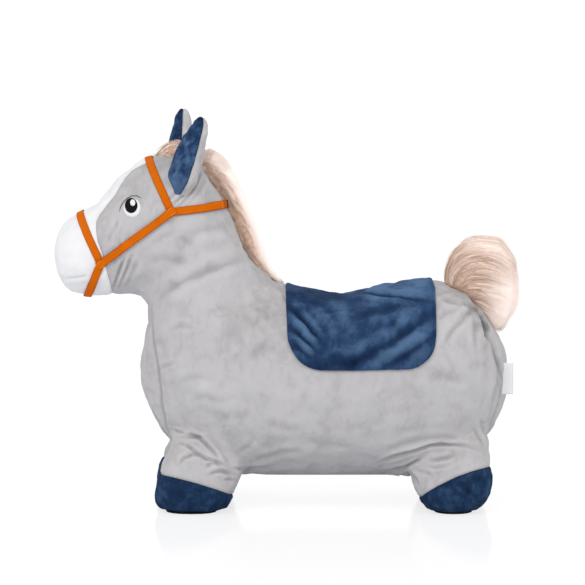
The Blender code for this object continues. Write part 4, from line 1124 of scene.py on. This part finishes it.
def stitchMark(travel, total, across, boxes):
    # 1 on a line of stitches, 0 away from it.
    mark = 0.0
    for start, end in boxes:
        where = travel if start >= 0 else total - travel
        first, last = abs(start), abs(end)
        if first <= where <= last:
            side = halterLook["width"] / 2 - halterLook["stitchInset"] - abs(across)
            border = min(where - first, last - where, side)
            mark = max(mark, math.exp(-(border / halterLook["stitchWidth"]) ** 2))
    return mark


def strapMesh(name, centres, normals, boxes, lift, tip=0.0):
    # A band of its own thickness along a path on the skin, with rounded edges.
    half, thick, least = halterLook["width"] / 2, halterLook["thick"], halterLook["edgeShare"]
    count, columns = len(centres), halterLook["columns"]
    middle = columns // 2
    travels = [0.0]
    for before, after in zip(centres, centres[1:]):
        travels.append(travels[-1] + (after[middle] - before[middle]).length)
    total = travels[-1]
    points, uvs, stitches, tips = [], [], [], []
    for level in (0, 1):
        for travel, places, ups in zip(travels, centres, normals):
            left = total - travel
            for j, (place, up) in enumerate(zip(places, ups)):
                across = (j / (columns - 1) * 2 - 1) * half
                edge = min(1.0, (half - abs(across)) / halterLook["round"])
                high = level * thick * (least + (1 - least) * math.sqrt(edge))
                points.append(place + up * (lift + high))
                uvs.append((travel * 1000, across * 1000))
                stitches.append(stitchMark(travel, total, across, boxes))
                folded = halterLook["foldShade"] if left < halterLook["foldedEnd"] else 0.0
                tips.append((1.0 if left < tip else folded) if tip else 0.0)
    faces = []
    size = count * columns
    for a, b, c, d in grid(count, columns):
        faces += [(a, d, c, b), (a + size, b + size, c + size, d + size)]
    for i in range(count - 1):
        a, b = i * columns, (i + 1) * columns - 1
        faces.append((a, a + size, a + columns + size, a + columns))
        faces.append((b, b + columns, b + columns + size, b + size))
    for a in range(columns - 1):
        b = size - columns + a
        faces += [(a, a + 1, a + 1 + size, a + size), (b, b + size, b + 1 + size, b + 1)]
    mesh = outwardMesh(name, points, faces)
    layer = mesh.uv_layers.new(name="weave")
    for loop in mesh.loops:
        layer.data[loop.index].uv = uvs[loop.vertex_index]
    measure(mesh, "stitch", stitches)
    measure(mesh, "tip", tips)
    return smoothUnder(newPiece(name, mesh, orangeWebbing), 50)


def strapRows(count, cast):
    # The skin under a strap: cast finds it at a share of its length and a distance from its middle.
    columns, half = halterLook["columns"], halterLook["width"] / 2
    rows = [[cast(i / (count - 1), (j / (columns - 1) * 2 - 1) * half) for j in range(columns)]
            for i in range(count)]
    return [[place for place, _ in row] for row in rows], evened([[up for _, up in row] for row in rows])


def evened(normals):
    # Normals averaged along the strap, so that the tape bridges small dents.
    result = []
    for i in range(len(normals)):
        near = normals[max(0, i - 3):i + 4]
        result.append([sum((up for row in near for up in row[max(0, j - 2):j + 3]), Vector()).normalized()
                       for j in range(len(normals[i]))])
    return result


def strapLine(start, end):
    # Ends of a strap's middle line, the way along it and the way across it.
    start, end = share(*halterPoints[start]), share(*halterPoints[end])
    along = (end - start).normalized()
    return start, end, along, Vector((-along.z, 0, along.x))


def sideStrap(name, start, end, side, after, lift, boxes, tip=0.0):
    start, end, along, across = strapLine(start, end)
    before = halterLook["overlap"]
    length = (end - start).length + before + after

    def cast(part, shift):
        place = start + along * (part * length - before) + across * shift
        return onSkin(place.x, place.z, side)
    return strapMesh(name, *strapRows(int(length / halterLook["step"]) + 2, cast), boxes, lift, tip)


def overStrap(name, start, end, tail, lift):
    # A band over or under the head, in the plane that its side line and Y span.
    start, end, along, across = strapLine(start, end)
    base = start + along * halterLook["core"]

    def hit(angle, shift):
        way = along * math.cos(angle) + Vector((0, math.sin(angle), 0))
        found, normal, _, _ = skinTree.ray_cast(base + across * shift + way * 0.3, -way)
        return found, normal
    edge = math.pi / 2
    while (hit(edge, 0)[0] - start).dot(along) >= -tail:
        edge += 0.01
    rows = strapRows(halterLook["rows"], lambda part, shift: hit((part * 2 - 1) * edge, shift))
    return strapMesh(name, *rows, bothBoxes, lift)


def makeHalter():
    lift, thick, overlap = halterLook["lift"], halterLook["thick"], halterLook["overlap"]
    for name, start, end, tail, high, node in (
            ("noseBand", "bit", "noseTop", overlap, lift, "nose_band"),
            ("chinStrap", "bit", "chin", 0.004, lift + thick, "chin_strap"),
            ("browBand", "temple", "brow", overlap, lift, "brow_band")):
        finish(overStrap(name, start, end, tail, high), "trunk", "orange_webbing", node)
    for side, word in ((-1, "left"), (1, "right")):
        cheek = sideStrap("cheekStrap_" + word, "bit", "temple", side, overlap, lift + 2 * thick, bothBoxes)
        finish(cheek, "trunk", "orange_webbing", "cheek_strap_" + word)
        crown = sideStrap("crownStrap_" + word, "temple", "crown", side, 0.003, lift + thick, foldedBoxes,
                          halterLook["tip"])
        finish(crown, "trunk", "orange_webbing", "crown_strap_" + word)


makeHalter()
print("halter sewn")

# Eyes
# Each patch: middle and half-sizes in view pixels, lift over the skin, height, thread, slot, node
eyeLook = {
    "eyeWhite": ((132.3, 207.7, 8.6, 9.5), 0.0001, 0.0007, whiteThread, "white_thread", ["eye_white_"]),
    "eyePupil": ((131.7, 205.8, 6.3, 7.5), 0.0008, 0.0006, blackThread, "black_thread", ["eye_pupil_"]),
    "eyeGlint": ((133.4, 203.0, 2.5, 3.2), 0.0014, 0.0004, whiteThread, "white_thread", []),
}
lidLine = np.array([(119.6, 212.5), (121.0, 207.0), (124.0, 202.2), (128.0, 198.6), (132.5, 196.4),
                    (137.5, 196.2), (142.0, 198.6)])
patchLook = {"rings": 9, "spokes": 48, "headHalf": 0.065, "sunk": 0.001, "weld": 0.00002}
lidLook = {"steps": 40, "sides": 6, "radius": 0.0006, "lift": 0.0003}


def stitchedPatch(name, oval, side, lift, height, material):
    # An oval of raised stitching that follows the head.
    rings, spokes = patchLook["rings"], patchLook["spokes"]
    points, faces = [], []
    for i in range(rings + 1):
        reach = min(1.0, i / (rings - 1))
        dome = height * math.sqrt(max(0.0, 1 - reach ** 4)) if i < rings else -patchLook["sunk"]
        for j in range(spokes):
            angle = math.tau * j / spokes
            across = oval[0] + math.cos(angle) * oval[2] * reach
            up = oval[1] + math.sin(angle) * oval[3] * reach
            hit, _ = onSkin(*fromView(across, up, patchLook["headHalf"]), side)
            hit, normal = onSkin(*fromView(across, up, hit.y), side)
            points.append(hit + normal * (lift + dome))
    for i in range(rings):
        for j in range(spokes):
            a, b = i * spokes + j, i * spokes + (j + 1) % spokes
            faces.append((a, b, b + spokes, a + spokes))
    mesh = outwardMesh(name, points, faces, patchLook["weld"])
    if sum(face.normal.y * side for face in mesh.polygons) < 0:
        mesh.flip_normals()
    return smooth(newPiece(name, mesh, material))


def makeLid(word, side):
    # The thin stitched line over the eye.
    fine = np.linspace(0, len(lidLine) - 1, lidLook["steps"])
    path = np.stack([np.interp(fine, range(len(lidLine)), lidLine[:, k]) for k in (0, 1)], 1)
    last, sides = len(path) - 1, lidLook["sides"]
    points, faces = [], []
    for i, (across, up) in enumerate(path):
        hit, normal = onSkin(*fromView(across, up, patchLook["headHalf"]), side)
        ahead = path[min(i + 1, last)] - path[max(i - 1, 0)]
        aside = Vector((ahead[1], 0, ahead[0])).normalized()
        radius = lidLook["radius"] * min(1, 0.25 + 6 * min(i, last - i) / len(path))
        for k in range(sides):
            angle = math.tau * k / sides
            high = lidLook["lift"] + math.sin(angle) * radius
            points.append(hit + aside * math.cos(angle) * radius + normal * high)
    for i in range(last):
        for k in range(sides):
            a, b = i * sides + k, i * sides + (k + 1) % sides
            faces.append((a, b, b + sides, a + sides))
    faces.append(tuple(range(sides)))
    faces.append(tuple(len(points) - 1 - k for k in range(sides)))
    mesh = outwardMesh("eyeLid_" + word, points, faces)
    finish(smooth(newPiece("eyeLid_" + word, mesh, greyThread)), "trunk", "black_thread")


def makeEyes():
    for side, word in ((-1, "left"), (1, "right")):
        for name, (oval, lift, height, material, slot, replaced) in eyeLook.items():
            patch = stitchedPatch("%s_%s" % (name, word), oval, side, lift, height, material)
            finish(patch, "trunk", slot, *[node + word for node in replaced])
        makeLid(word, side)


makeEyes()
print("eyes stitched")

# Ears
earLook = {"length": 0.099, "root": 0.013, "width": 0.052, "depth": 0.038, "spacing": 0.112,
           "place": (-0.2262, 0.824), "pressure": 3.0, "reach": 0.0015, "dish": 0.08, "bowReach": 0.085,
           "edge": 0.0012, "edgeDepth": 0.0009, "liningProud": 0.0004, "bend": (0.006, 0.022)}
# Degrees back and turned, degrees that the grey fabric wraps round the rear edge, bow in metres
earPoses = {"left": (18.5, -62.0, 8.0, 0.0008), "right": (1.0, -78.0, 14.0, 0.0034)}
# Share along the ear, share of its width, share of its depth
earProfile = [(0.00, 0.30, 0.26), (0.03, 0.58, 0.52), (0.09, 0.80, 0.76), (0.22, 1.00, 1.00),
              (0.46, 0.97, 0.95), (0.63, 0.86, 0.84), (0.79, 0.69, 0.66), (0.90, 0.50, 0.48),
              (0.965, 0.28, 0.28), (1.0, 0.03, 0.03)]


def earShape(side):
    # A stuffed ear that stands in its place, with the ways along it and out of its lining.
    back, turn, wrap, bow = earPoses[side]
    hinge = share(*earLook["place"], (-1 if side == "left" else 1) * earLook["spacing"] / 2)
    pose = Matrix.Rotation(math.radians(back), 4, "Y") @ Matrix.Rotation(math.radians(turn), 4, "Z")
    deselect()
    bpy.ops.mesh.primitive_uv_sphere_add(segments=56, ring_count=40, radius=1)
    ear = bpy.context.object
    ear.data = inOrder(ear.data)
    profile = np.array(earProfile)
    points = coordinates(ear.data)
    along = np.clip((1 + points[:, 2]) / 2, 0, 1) ** 0.9
    radius = np.maximum(np.hypot(points[:, 0], points[:, 1]), 1e-6)
    cosine, sine = points[:, 0] / radius, points[:, 1] / radius
    wide = np.interp(along, profile[:, 0], profile[:, 1]) * earLook["width"] / 2
    deep = np.interp(along, profile[:, 0], profile[:, 2]) * earLook["depth"] / 2
    dish = (1 - cosine ** 2) * np.clip(np.sin(along * math.pi), 0, 1)
    y = sine * deep + np.where(sine < 0, dish * deep * earLook["dish"], 0)
    z = along * (earLook["length"] + earLook["root"]) - earLook["root"]
    moveTo(ear.data, np.stack([cosine * wide, y, z], 1))
    bake(ear, "SMOOTH", factor=0.5, iterations=3)
    stuffed(ear, coordinates(ear.data)[:, 2] < 0, earLook["pressure"], earLook["reach"])
    bake(ear, "SUBSURF", levels=1, render_levels=1)
    ear.data.transform(Matrix.Translation(hinge) @ pose)
    ear.matrix_world = Matrix.Identity(4)
    points = coordinates(ear.data)
    up = np.clip((points[:, 2] - hinge.z) / earLook["bowReach"], 0, 1)
    points[:, 0] -= bow * np.sin(up * math.pi)
    moveTo(ear.data, points)
    wrap = math.radians(wrap)
    front = (pose @ Vector((-math.sin(wrap), -math.cos(wrap), 0))).normalized()
    return ear, hinge, (pose @ Vector((0, 0, 1))).normalized(), front


def shapeEar(mesh, hinge, axis, front):
    # Soft dents and the edge seam, with painted shade in the dents and along the seam, then the lining's
    # tone: paler at its root and darker towards its tip.
    points, normals = coordinates(mesh), vertexNormals(mesh)
    local = (points - np.array(hinge)) @ np.array(front)
    high = (points - np.array(hinge)) @ np.array(axis)
    edge = np.exp(-(local / earLook["edge"]) ** 2)
    dents = softNoise(points, 48, 11)
    push = dents * 0.0016 + softNoise(points, 120, 12) * 0.0007 - edge * earLook["edgeDepth"]
    push += np.where(local > 0.001, earLook["liningProud"], 0)
    moveTo(mesh, points + normals * push[:, None])
    measure(mesh, "seamShade", edge)
    measure(mesh, "creaseShade", np.clip(-dents * 0.5, 0, 0.5))
    shade = softNoise(points, 62, 13) * 0.7 + softNoise(points, 170, 14) * 0.45
    lining = shade + 0.72 - high / earLook["length"] * 1.15
    measure(mesh, "napAndShade", np.where(local > 0, lining, shade * 0.3))


def makeEar(side):
    ear, hinge, axis, front = earShape(side)
    shapeEar(ear.data, hinge, axis, front)
    below, above = earLook["bend"]
    for name, sign, paint, slot, node in (("earLining_", 1, blueVelvet, "blue_velvet", "ear_lining_"),
                                          ("earBack_", -1, greyPlush, "grey_plush", "ear_back_")):
        mesh = ear.data.copy()
        shape = bmesh.new()
        shape.from_mesh(mesh)
        geometry = shape.verts[:] + shape.edges[:] + shape.faces[:]
        cut = bmesh.ops.bisect_plane(shape, geom=geometry, plane_co=hinge, plane_no=-front * sign,
                                     clear_outer=True)
        rim = [e for e in cut["geom_cut"] if isinstance(e, bmesh.types.BMEdge)]
        bmesh.ops.contextual_create(shape, geom=rim)
        bmesh.ops.recalc_face_normals(shape, faces=shape.faces)
        shape.to_mesh(mesh)
        shape.free()
        mesh.materials.clear()
        piece = smoothUnder(newPiece(name + side, mesh, paint), 70)
        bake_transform(piece)
        finish(piece, None, slot, node + side)
    bpy.data.objects.remove(ear)


for side in ("left", "right"):
    makeEar(side)
print("ears set")

# Hair
hairLook = {
    "mane": {"locks": 250, "hairs": 20, "length": 0.046, "seed": 3, "radius": 0.00028, "spread": 0.0040,
             "sink": 0.0016},
    "forelock": {"locks": 44, "hairs": 36, "length": 0.034, "seed": 5, "radius": 0.00026, "spread": 0.0046,
                 "sink": -0.0008},
    "tail": {"locks": 250, "hairs": 20, "length": 0.062, "seed": 9, "radius": 0.00028, "spread": 0.0040,
             "sink": 0.0014},
}
coreLook = {"voxel": 0.0030, "smoothing": 7, "swell": 0.0010, "forelockDrop": 0.0020}
# How high a lock stands, how it bends and differs in size, then how each of its hairs lies and ends
lockLook = {"steps": 7, "sides": 3, "low": 0.0002, "high": 0.0016, "curl": (0.0004, 0.0016), "lean": 0.10,
            "size": (0.8, 1.2), "out": 0.10, "aside": 0.55, "gather": (0.45, 0.9), "wisps": 0.14,
            "wispGather": 1.15, "wispRise": (0.001, 0.0050), "slip": 0.22, "reach": (0.75, 1.0), "edge": 0.5}


def hairCore(node):
    # The tuft's solid, with soft waves, under its hair.
    piece = newPiece(node + "Core", meshOf(nodeCopy([node]), node + "Core"), creamHair)
    bake(piece, "REMESH", mode="VOXEL", voxel_size=coreLook["voxel"])
    bake(piece, "SMOOTH", factor=0.5, iterations=coreLook["smoothing"])
    mesh = piece.data
    mesh.materials.clear()
    mesh.materials.append(creamHair)
    points, normals = coordinates(mesh), vertexNormals(mesh)
    wave = softNoise(points * np.array([1, 2.2, 1]), 55, 4)
    points = points + normals * (wave * coreLook["swell"] - hairLook[node]["sink"])[:, None]
    if node == "forelock":
        points[:, 2] -= coreLook["forelockDrop"]
    moveTo(mesh, spillMane(points) if node == "mane" else points)
    measure(mesh, "tone", np.clip(0.25 + softNoise(points, 160, 6) * 0.5, 0, 1))
    measure(mesh, "along", np.zeros(len(points)))
    return smooth(piece)


class Scalp:
    # The core of one tuft: where hair may root, and the surface that it follows.
    def __init__(self, mesh, dice):
        mesh.calc_loop_triangles()
        self.points = coordinates(mesh)
        self.triangles = [tuple(t.vertices) for t in mesh.loop_triangles]
        self.tree = BVHTree.FromPolygons([Vector(p) for p in self.points], self.triangles)
        first, second, third = (self.points[np.array(self.triangles)[:, k]] for k in range(3))
        self.heap = np.cumsum(np.linalg.norm(np.cross(second - first, third - first), axis=1))
        self.dice = dice

    def root(self, chance):
        # More hair roots where the rest of the tuft flows away from.
        for _ in range(60):
            chosen = int(np.searchsorted(self.heap, self.dice.random() * self.heap[-1]))
            a, b, c = (Vector(self.points[k]) for k in self.triangles[min(chosen, len(self.triangles) - 1)])
            r, t = math.sqrt(self.dice.random()), self.dice.random()
            place = a * (1 - r) + b * (r * (1 - t)) + c * (r * t)
            if self.dice.random() < chance(place):
                break
        return place

    def trail(self, place, flow, length, lift, curl):
        # The path of a lock over the surface: it rises from its root and sinks again at the tip.
        path, phase = [], self.dice.uniform(0, math.tau)
        lean = self.dice.uniform(-lockLook["lean"], lockLook["lean"])
        last = lockLook["steps"] - 1
        for step in range(last + 1):
            t = step / last
            found, normal, _, _ = self.tree.find_nearest(place)
            way = flow(place)
            way = (way + way.cross(normal) * lean).normalized()
            if t < 0.85:
                way = (way - normal * way.dot(normal)).normalized()
                place = found + normal * (lift * math.sin(min(1, 0.25 + t) * 1.9) - lockLook["low"])
            side = way.cross(normal)
            path.append((place + side * (math.sin(phase + t * 3.5) * curl * t), normal, side))
            place = place + way * (length / last)
        return path


def onGuide(guide, part):
    # Place, normal, side and direction at a share of a lock's path.
    spot = within(part, 0.0, 0.999) * (len(guide) - 1)
    low = int(spot)
    high = min(low + 1, len(guide) - 1)
    place = guide[low][0].lerp(guide[high][0], spot - low)
    normal = guide[low][1].lerp(guide[high][1], spot - low).normalized()
    return place, normal, guide[low][2], (guide[high][0] - guide[low][0]).normalized()


def growHair(node, body, flow, outer, chance):
    look = hairLook[node]
    dice = random.Random(look["seed"])
    core = hairCore(node)
    scalp = Scalp(core.data, dice)
    steps, sides, low = lockLook["steps"], lockLook["sides"], lockLook["low"]
    verts, faces, tones, alongs, paintedLights, facing = [], [], [], [], [], []
    for _ in range(look["locks"]):
        root = scalp.root(chance)
        proud = dice.random()
        lift = low + lockLook["high"] * proud ** 2
        length = look["length"] * dice.uniform(*lockLook["size"])
        guide = scalp.trail(root, flow, length, lift, dice.uniform(*lockLook["curl"]))
        # Locks that stand prouder get a paler tone: painted light on the raised locks
        tone = within(dice.gauss(0.30 + 0.45 * proud, 0.20))
        spread = look["spread"] * dice.uniform(*lockLook["size"])
        for _ in range(look["hairs"]):
            out, aside = abs(dice.gauss(0, lockLook["out"])), dice.gauss(0, lockLook["aside"])
            gather, wisp = dice.uniform(*lockLook["gather"]), 0.0
            if dice.random() < lockLook["wisps"]:
                gather, wisp = lockLook["wispGather"], dice.uniform(*lockLook["wispRise"])
            # Painted shade: hairs towards the sides of a lock are darker, so the gaps between locks look
            # shaded
            own = within(tone + dice.gauss(0, 0.14) + 0.22 - 0.75 * min(1.2, abs(aside)) ** 1.5)
            slip, reach = dice.uniform(0, lockLook["slip"]), dice.uniform(*lockLook["reach"])
            first = len(verts)
            for step in range(steps):
                t = step / (steps - 1)
                place, normal, side, ahead = onGuide(guide, slip * (1 - t) + t * reach)
                wide = aside * spread * (1 - (1 - gather) * t ** 1.3)
                place = place + side * wide + normal * (out * spread * 0.3 + wisp * t * t)
                if abs(aside) > lockLook["edge"]:
                    # Hair far from its lock's middle still lies on the core.
                    found, normal, _, _ = scalp.tree.find_nearest(place)
                    place += normal * max(0.0, lift * 0.6 + low - (place - found).dot(normal))
                across = ahead.cross(normal).normalized()
                over = across.cross(ahead)
                size = look["radius"] * (1.1 - 0.85 * t ** 1.4)
                for k in range(sides):
                    angle = math.tau * k / sides + 0.5
                    around = across * math.cos(angle) + over * math.sin(angle)
                    verts.append(place + around * size)
                    facing.append((normal * 0.2 + around * 0.85).normalized())
                    tones.append(own)
                    alongs.append(t)
                    paintedLights.append(outer(place))
            for step in range(steps - 1):
                for k in range(sides):
                    p, q = first + step * sides + k, first + step * sides + (k + 1) % sides
                    faces.append((p, p + sides, q + sides, q))
            last = first + (steps - 1) * sides
            faces += [(first, first + 1, first + 2), (last, last + 2, last + 1)]
    hair = bpy.data.meshes.new(node + "Hair")
    hair.from_pydata(verts, [], faces)
    for name, values in (("tone", tones), ("along", alongs), ("outer", paintedLights)):
        measure(hair, name, values)
    measure(core.data, "outer", [outer(v.co) for v in core.data.vertices])
    piece = smooth(newPiece(node + "Hair", hair, creamHair))
    hair.normals_split_custom_set_from_vertices(facing)
    finish(core, body, "cream_hair", node)
    finish(piece, body, "cream_hair")
    print("%s: %d triangles" % (node, sum(len(f) - 2 for f in faces)))


# The mane's seam down the neck, and how its inner edge spills over the sides, in metres
maneLine = [(-0.186, 0.880), (-0.152, 0.858), (-0.125, 0.824), (-0.108, 0.783), (-0.0945, 0.7445),
            (-0.0805, 0.702), (-0.067, 0.657), (-0.0525, 0.6145), (-0.037, 0.5875), (-0.020, 0.566)]
maneTrack = [share(*p) for p in maneLine]
maneLook = {"spill": 0.0072, "inner": 0.007, "parting": 0.006, "over": 0.0012, "under": 0.0035,
            "darkReach": 0.005, "paleReach": 0.0095}


def nearestOnMane(place):
    best = min(range(len(maneTrack)), key=lambda i: (maneTrack[i] - place).length)
    along = (maneTrack[min(best + 1, len(maneTrack) - 1)] - maneTrack[max(best - 1, 0)]).normalized()
    out = Vector((-along.z, 0, along.x))
    return best, along, out if out.x > 0 else -out


def spillMane(points):
    # The inner edge of the mane lies over both sides of the neck, less so at its lower end.
    spilt = points.copy()
    for index, place in enumerate(points):
        place = Vector(place)
        best, _, out = nearestOnMane(place)
        inward = -(place - maneTrack[best]).dot(out)
        amount = within(inward / maneLook["inner"]) * min(1, abs(place.y) / maneLook["parting"])
        amount *= within((8.6 - best) / 2)
        if amount > 0:
            side = 1 if place.y > 0 else -1
            place = place - out * maneLook["spill"] * amount
            hit, _ = onSkin(place.x, place.z, side)
            if hit:
                place.y = side * max(abs(place.y), abs(hit.y) + maneLook["over"] * amount)
            spilt[index] = place
    return spilt


def maneFlow(place):
    _, along, out = nearestOnMane(place)
    turn = 0.20 + 0.10 * math.sin(place.z * 70 + place.y * 60)
    return (along + out * turn + Vector((0, math.copysign(0.06, place.y), 0))).normalized()


def maneLightShade(place):
    # Painted shade where it meets the neck, painted light at its outer rim
    best, _, out = nearestOnMane(place)
    proud = (place - maneTrack[best]).dot(out)
    if proud < -maneLook["under"]:
        return max(-0.6, (proud + maneLook["under"]) / maneLook["darkReach"])
    return within(proud / maneLook["paleReach"], 0.0, 0.95) * min(1, 0.3 + best / 3)


def maneRoots(place):
    return 1.0 if nearestOnMane(place)[0] < 3 else 0.45


tailRoot = share(0.365, 0.5295)
tailLook = {"rootReach": 0.028, "paleFrom": 0.068, "paleReach": 0.04, "darkReach": 0.03, "rightFrom": 0.262,
            "rightReach": 0.045, "slantFrom": 0.27, "lowFrom": 0.365, "lowReach": 0.06}


def fromTailRoot(place):
    return Vector((place.x - tailRoot.x, 0, place.z - tailRoot.z))


def tailFlow(place):
    # A fountain: out of the root, then over and down, clockwise seen from the left.
    away = fromTailRoot(place)
    angle = math.atan2(away.z, away.x)
    heading = angle - math.atan(away.length * 30) * within((angle + 0.9) / 1.7, 0.12)
    return Vector((math.cos(heading), place.y * 3, math.sin(heading))).normalized()


def tailLightShade(place):
    # Painted shade round the root, and painted light on the far right, most of all low down, and on the rim
    # far from the root
    away = fromTailRoot(place).length
    if away <= tailLook["rootReach"]:
        return max(-0.5, (away - tailLook["rootReach"]) / tailLook["darkReach"])
    edge = tailLook["rightFrom"] + 0.25 * max(0.0, place.z - tailLook["slantFrom"])
    right = within((place.x - edge) / tailLook["rightReach"], 0.0, 0.95)
    low = within((tailLook["lowFrom"] - place.z) / tailLook["lowReach"], 0.35)
    pale = min(0.4, (away - tailLook["paleFrom"]) / tailLook["paleReach"])
    return max(right * low * 0.75, pale, 0.0)


def tailRoots(place):
    return 1.0 if fromTailRoot(place).length < tailLook["rootReach"] else 0.4


def forelockFlow(place):
    return Vector((-1, place.y * 4, -0.15 + 0.3 * math.sin(place.z * 200))).normalized()


growHair("mane", "trunk", maneFlow, maneLightShade, maneRoots)
growHair("forelock", "trunk", forelockFlow, lambda place: 0.0, lambda place: 1.0)
growHair("tail", "tail", tailFlow, tailLightShade, tailRoots)
print("hair grown")

# Soles, tag, bladder, zip
soleLook = {"bevel": 0.0007, "pitch": 0.0062, "rowShare": 0.87, "rim": 0.005, "studFoot": 0.0016,
            "studRoot": 0.0019, "studDepth": 0.0004}
tagLook = {"rows": 14, "columns": 24, "sewn": 0.003, "wave": 0.0012, "curl": 0.0007, "thick": 0.0006}
bladderLook = {"outerGap": 0.00126, "slack": 0.0040, "stubLow": 0.030, "stubHigh": 0.088}


def makeSole(end, side):
    node = "sole_%s_%s" % (end, side)
    shape = nodeCopy([node])
    bmesh.ops.dissolve_limit(shape, angle_limit=math.radians(2), verts=shape.verts, edges=shape.edges)
    piece = newPiece("soleGrip_%s_%s" % (end, side), meshOf(shape, node), soleGrip)
    bake(piece, "BEVEL", width=soleLook["bevel"], segments=2, limit_method="ANGLE",
         angle_limit=math.radians(40))
    low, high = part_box(node)
    centre, half = (low + high) / 2, (high - low) / 2
    studs = bmesh.new()
    studs.from_mesh(piece.data)
    pitch, rim = soleLook["pitch"], soleLook["rim"]
    rows = int(half.x / pitch)
    for i in range(-rows, rows + 1):
        for j in range(-rows, rows + 1):
            x, y = i * pitch + (j % 2) * pitch / 2, j * pitch * soleLook["rowShare"]
            if (x / (half.x - rim)) ** 2 + (y / (half.y - rim)) ** 2 <= 1:
                place = Matrix.Translation((centre.x + x, centre.y + y, soleLook["studDepth"] / 2))
                bmesh.ops.create_cone(studs, cap_ends=True, segments=8, radius1=soleLook["studFoot"],
                                      radius2=soleLook["studRoot"], depth=soleLook["studDepth"], matrix=place)
    studs.to_mesh(piece.data)
    studs.free()
    smoothUnder(piece, 35)
    finish(piece, "feet", "sole_grip", node)


def makeTag():
    # A short ribbon, sewn in at one edge, that waves a little at its free one.
    low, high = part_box("seam_tag")
    rows, columns = tagLook["rows"], tagLook["columns"]
    start, middle = low.x - tagLook["sewn"], (low.y + high.y) / 2
    points = []
    for i in range(rows):
        t = i / (rows - 1)
        for j in range(columns):
            s = j / (columns - 1)
            wave = math.sin(s * 5 + 0.6) * tagLook["wave"] + math.sin(t * 7) * tagLook["curl"]
            points.append((start + (high.x - start) * t, middle + wave * t, low.z + (high.z - low.z) * s))
    mesh = bpy.data.meshes.new("seamTag")
    mesh.from_pydata(points, [], grid(rows, columns))
    piece = newPiece("seamTag", mesh, tagRibbon)
    bake(piece, "SOLIDIFY", thickness=tagLook["thick"], offset=0.0)
    smooth(piece)
    finish(piece, "trunk", "tag_ribbon", "seam_tag")


def makeBladder():
    piece = newPiece("airBladder", meshOf(nodeCopy(["air_bladder"]), "airBladder"), bladderVinyl)
    points, normals = coordinates(piece.data), vertexNormals(piece.data)
    cover = nodeCopy(coverNodes)
    tree = BVHTree.FromBMesh(cover)
    cover.free()
    gap = np.array([tree.find_nearest(Vector(p))[3] for p in points])
    # Both faces of the wall are drawn in from the cover's folds, except over the zip's pocket.
    inward = np.where(gap < bladderLook["outerGap"], -1, 1)
    away = np.clip((np.maximum(np.abs(points[:, 1]) / 0.04, points[:, 2] / 0.10) - 0.8) * 4, 0, 1)
    moveTo(piece.data, points + normals * (inward * bladderLook["slack"] * away)[:, None])
    smoothUnder(piece, 45)
    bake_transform(piece)
    finish(piece, None, "bladder_vinyl", "air_bladder")


for end, side in corners:
    makeSole(end, side)
makeTag()
makeBladder()
# Nodes whose own solids are shown
bareNodes = {"zip_chain_left": zipTapeCloth, "zip_chain_right": zipTapeCloth,
             "zip_stop": zipMetal, "zip_slider": zipMetal, "zip_pull": zipMetal,
             "valve_seat": valveRubber, "valve_plug": valveRubber}
for node, material in bareNodes.items():
    nodes[node].material_slots[0].material = material
print("small parts made")

# Floor and light
# Lamps: place, size and power
stageLook = {"floor": screen(240, 241, 246), "floorSize": 14, "floorPlace": (0, 3, 0), "world": 0.80,
             "seen": 0.68, "glow": 1.12, "aim": (0, 0, 0.25),
             "lamps": {"key": ((-1.2, -2.2, 2.4), 1.8, 31.0), "fill": ((2.0, -1.6, 1.5), 1.6, 9.0)}}
white = (1, 1, 1, 1)


def makeFloor():
    # White to the camera, with a faint sheen, and lit by itself.
    deselect()
    bpy.ops.mesh.primitive_plane_add(size=stageLook["floorSize"], location=stageLook["floorPlace"])
    floor = bpy.context.object
    floor.name = "floor"
    paint = Paint("floorWhite", roughness=0.12, Specular_IOR_Level=0.5)
    paint.set("Base Color", stageLook["floor"])
    glow = paint.add("Emission", {}, {"Color": white, "Strength": stageLook["glow"]})
    seen = paint.add("LightPath", {}, {}, "Is Camera Ray") * stageLook["seen"]
    lit = Value(paint, paint.shader.outputs[0])
    mixed = paint.add("MixShader", {}, {0: seen, 1: lit, 2: glow})
    paint.fill(paint.tree.nodes["Material Output"].inputs["Surface"], mixed)
    floor.data.materials.append(paint.material)


def makeLight():
    world = bpy.data.worlds.new("studio")
    bpy.context.scene.world = world
    world.use_nodes = True
    sky = Nodes(world.node_tree)
    back = sky.tree.nodes["Background"]
    back.inputs["Color"].default_value = white
    # Full white where it is seen, straight or in the floor, and dimmer as a light
    camera, glossy = (sky.add("LightPath", {}, {}, "Is %s Ray" % kind) for kind in ("Camera", "Glossy"))
    sky.fill(back.inputs["Strength"], camera.maths("MAXIMUM", glossy).maths("MAXIMUM", stageLook["world"]))
    for name, (place, size, power) in stageLook["lamps"].items():
        data = bpy.data.lights.new(name, "AREA")
        data.energy, data.size = power, size
        lamp = bpy.data.objects.new(name, data)
        lamp.location = place
        way = Vector(stageLook["aim"]) - Vector(place)
        lamp.rotation_euler = way.to_track_quat("-Z", "Y").to_euler()
        bpy.context.scene.collection.objects.link(lamp)


makeFloor()
makeLight()
bpy.context.scene.view_settings.view_transform = "Standard"
print("stage lit")
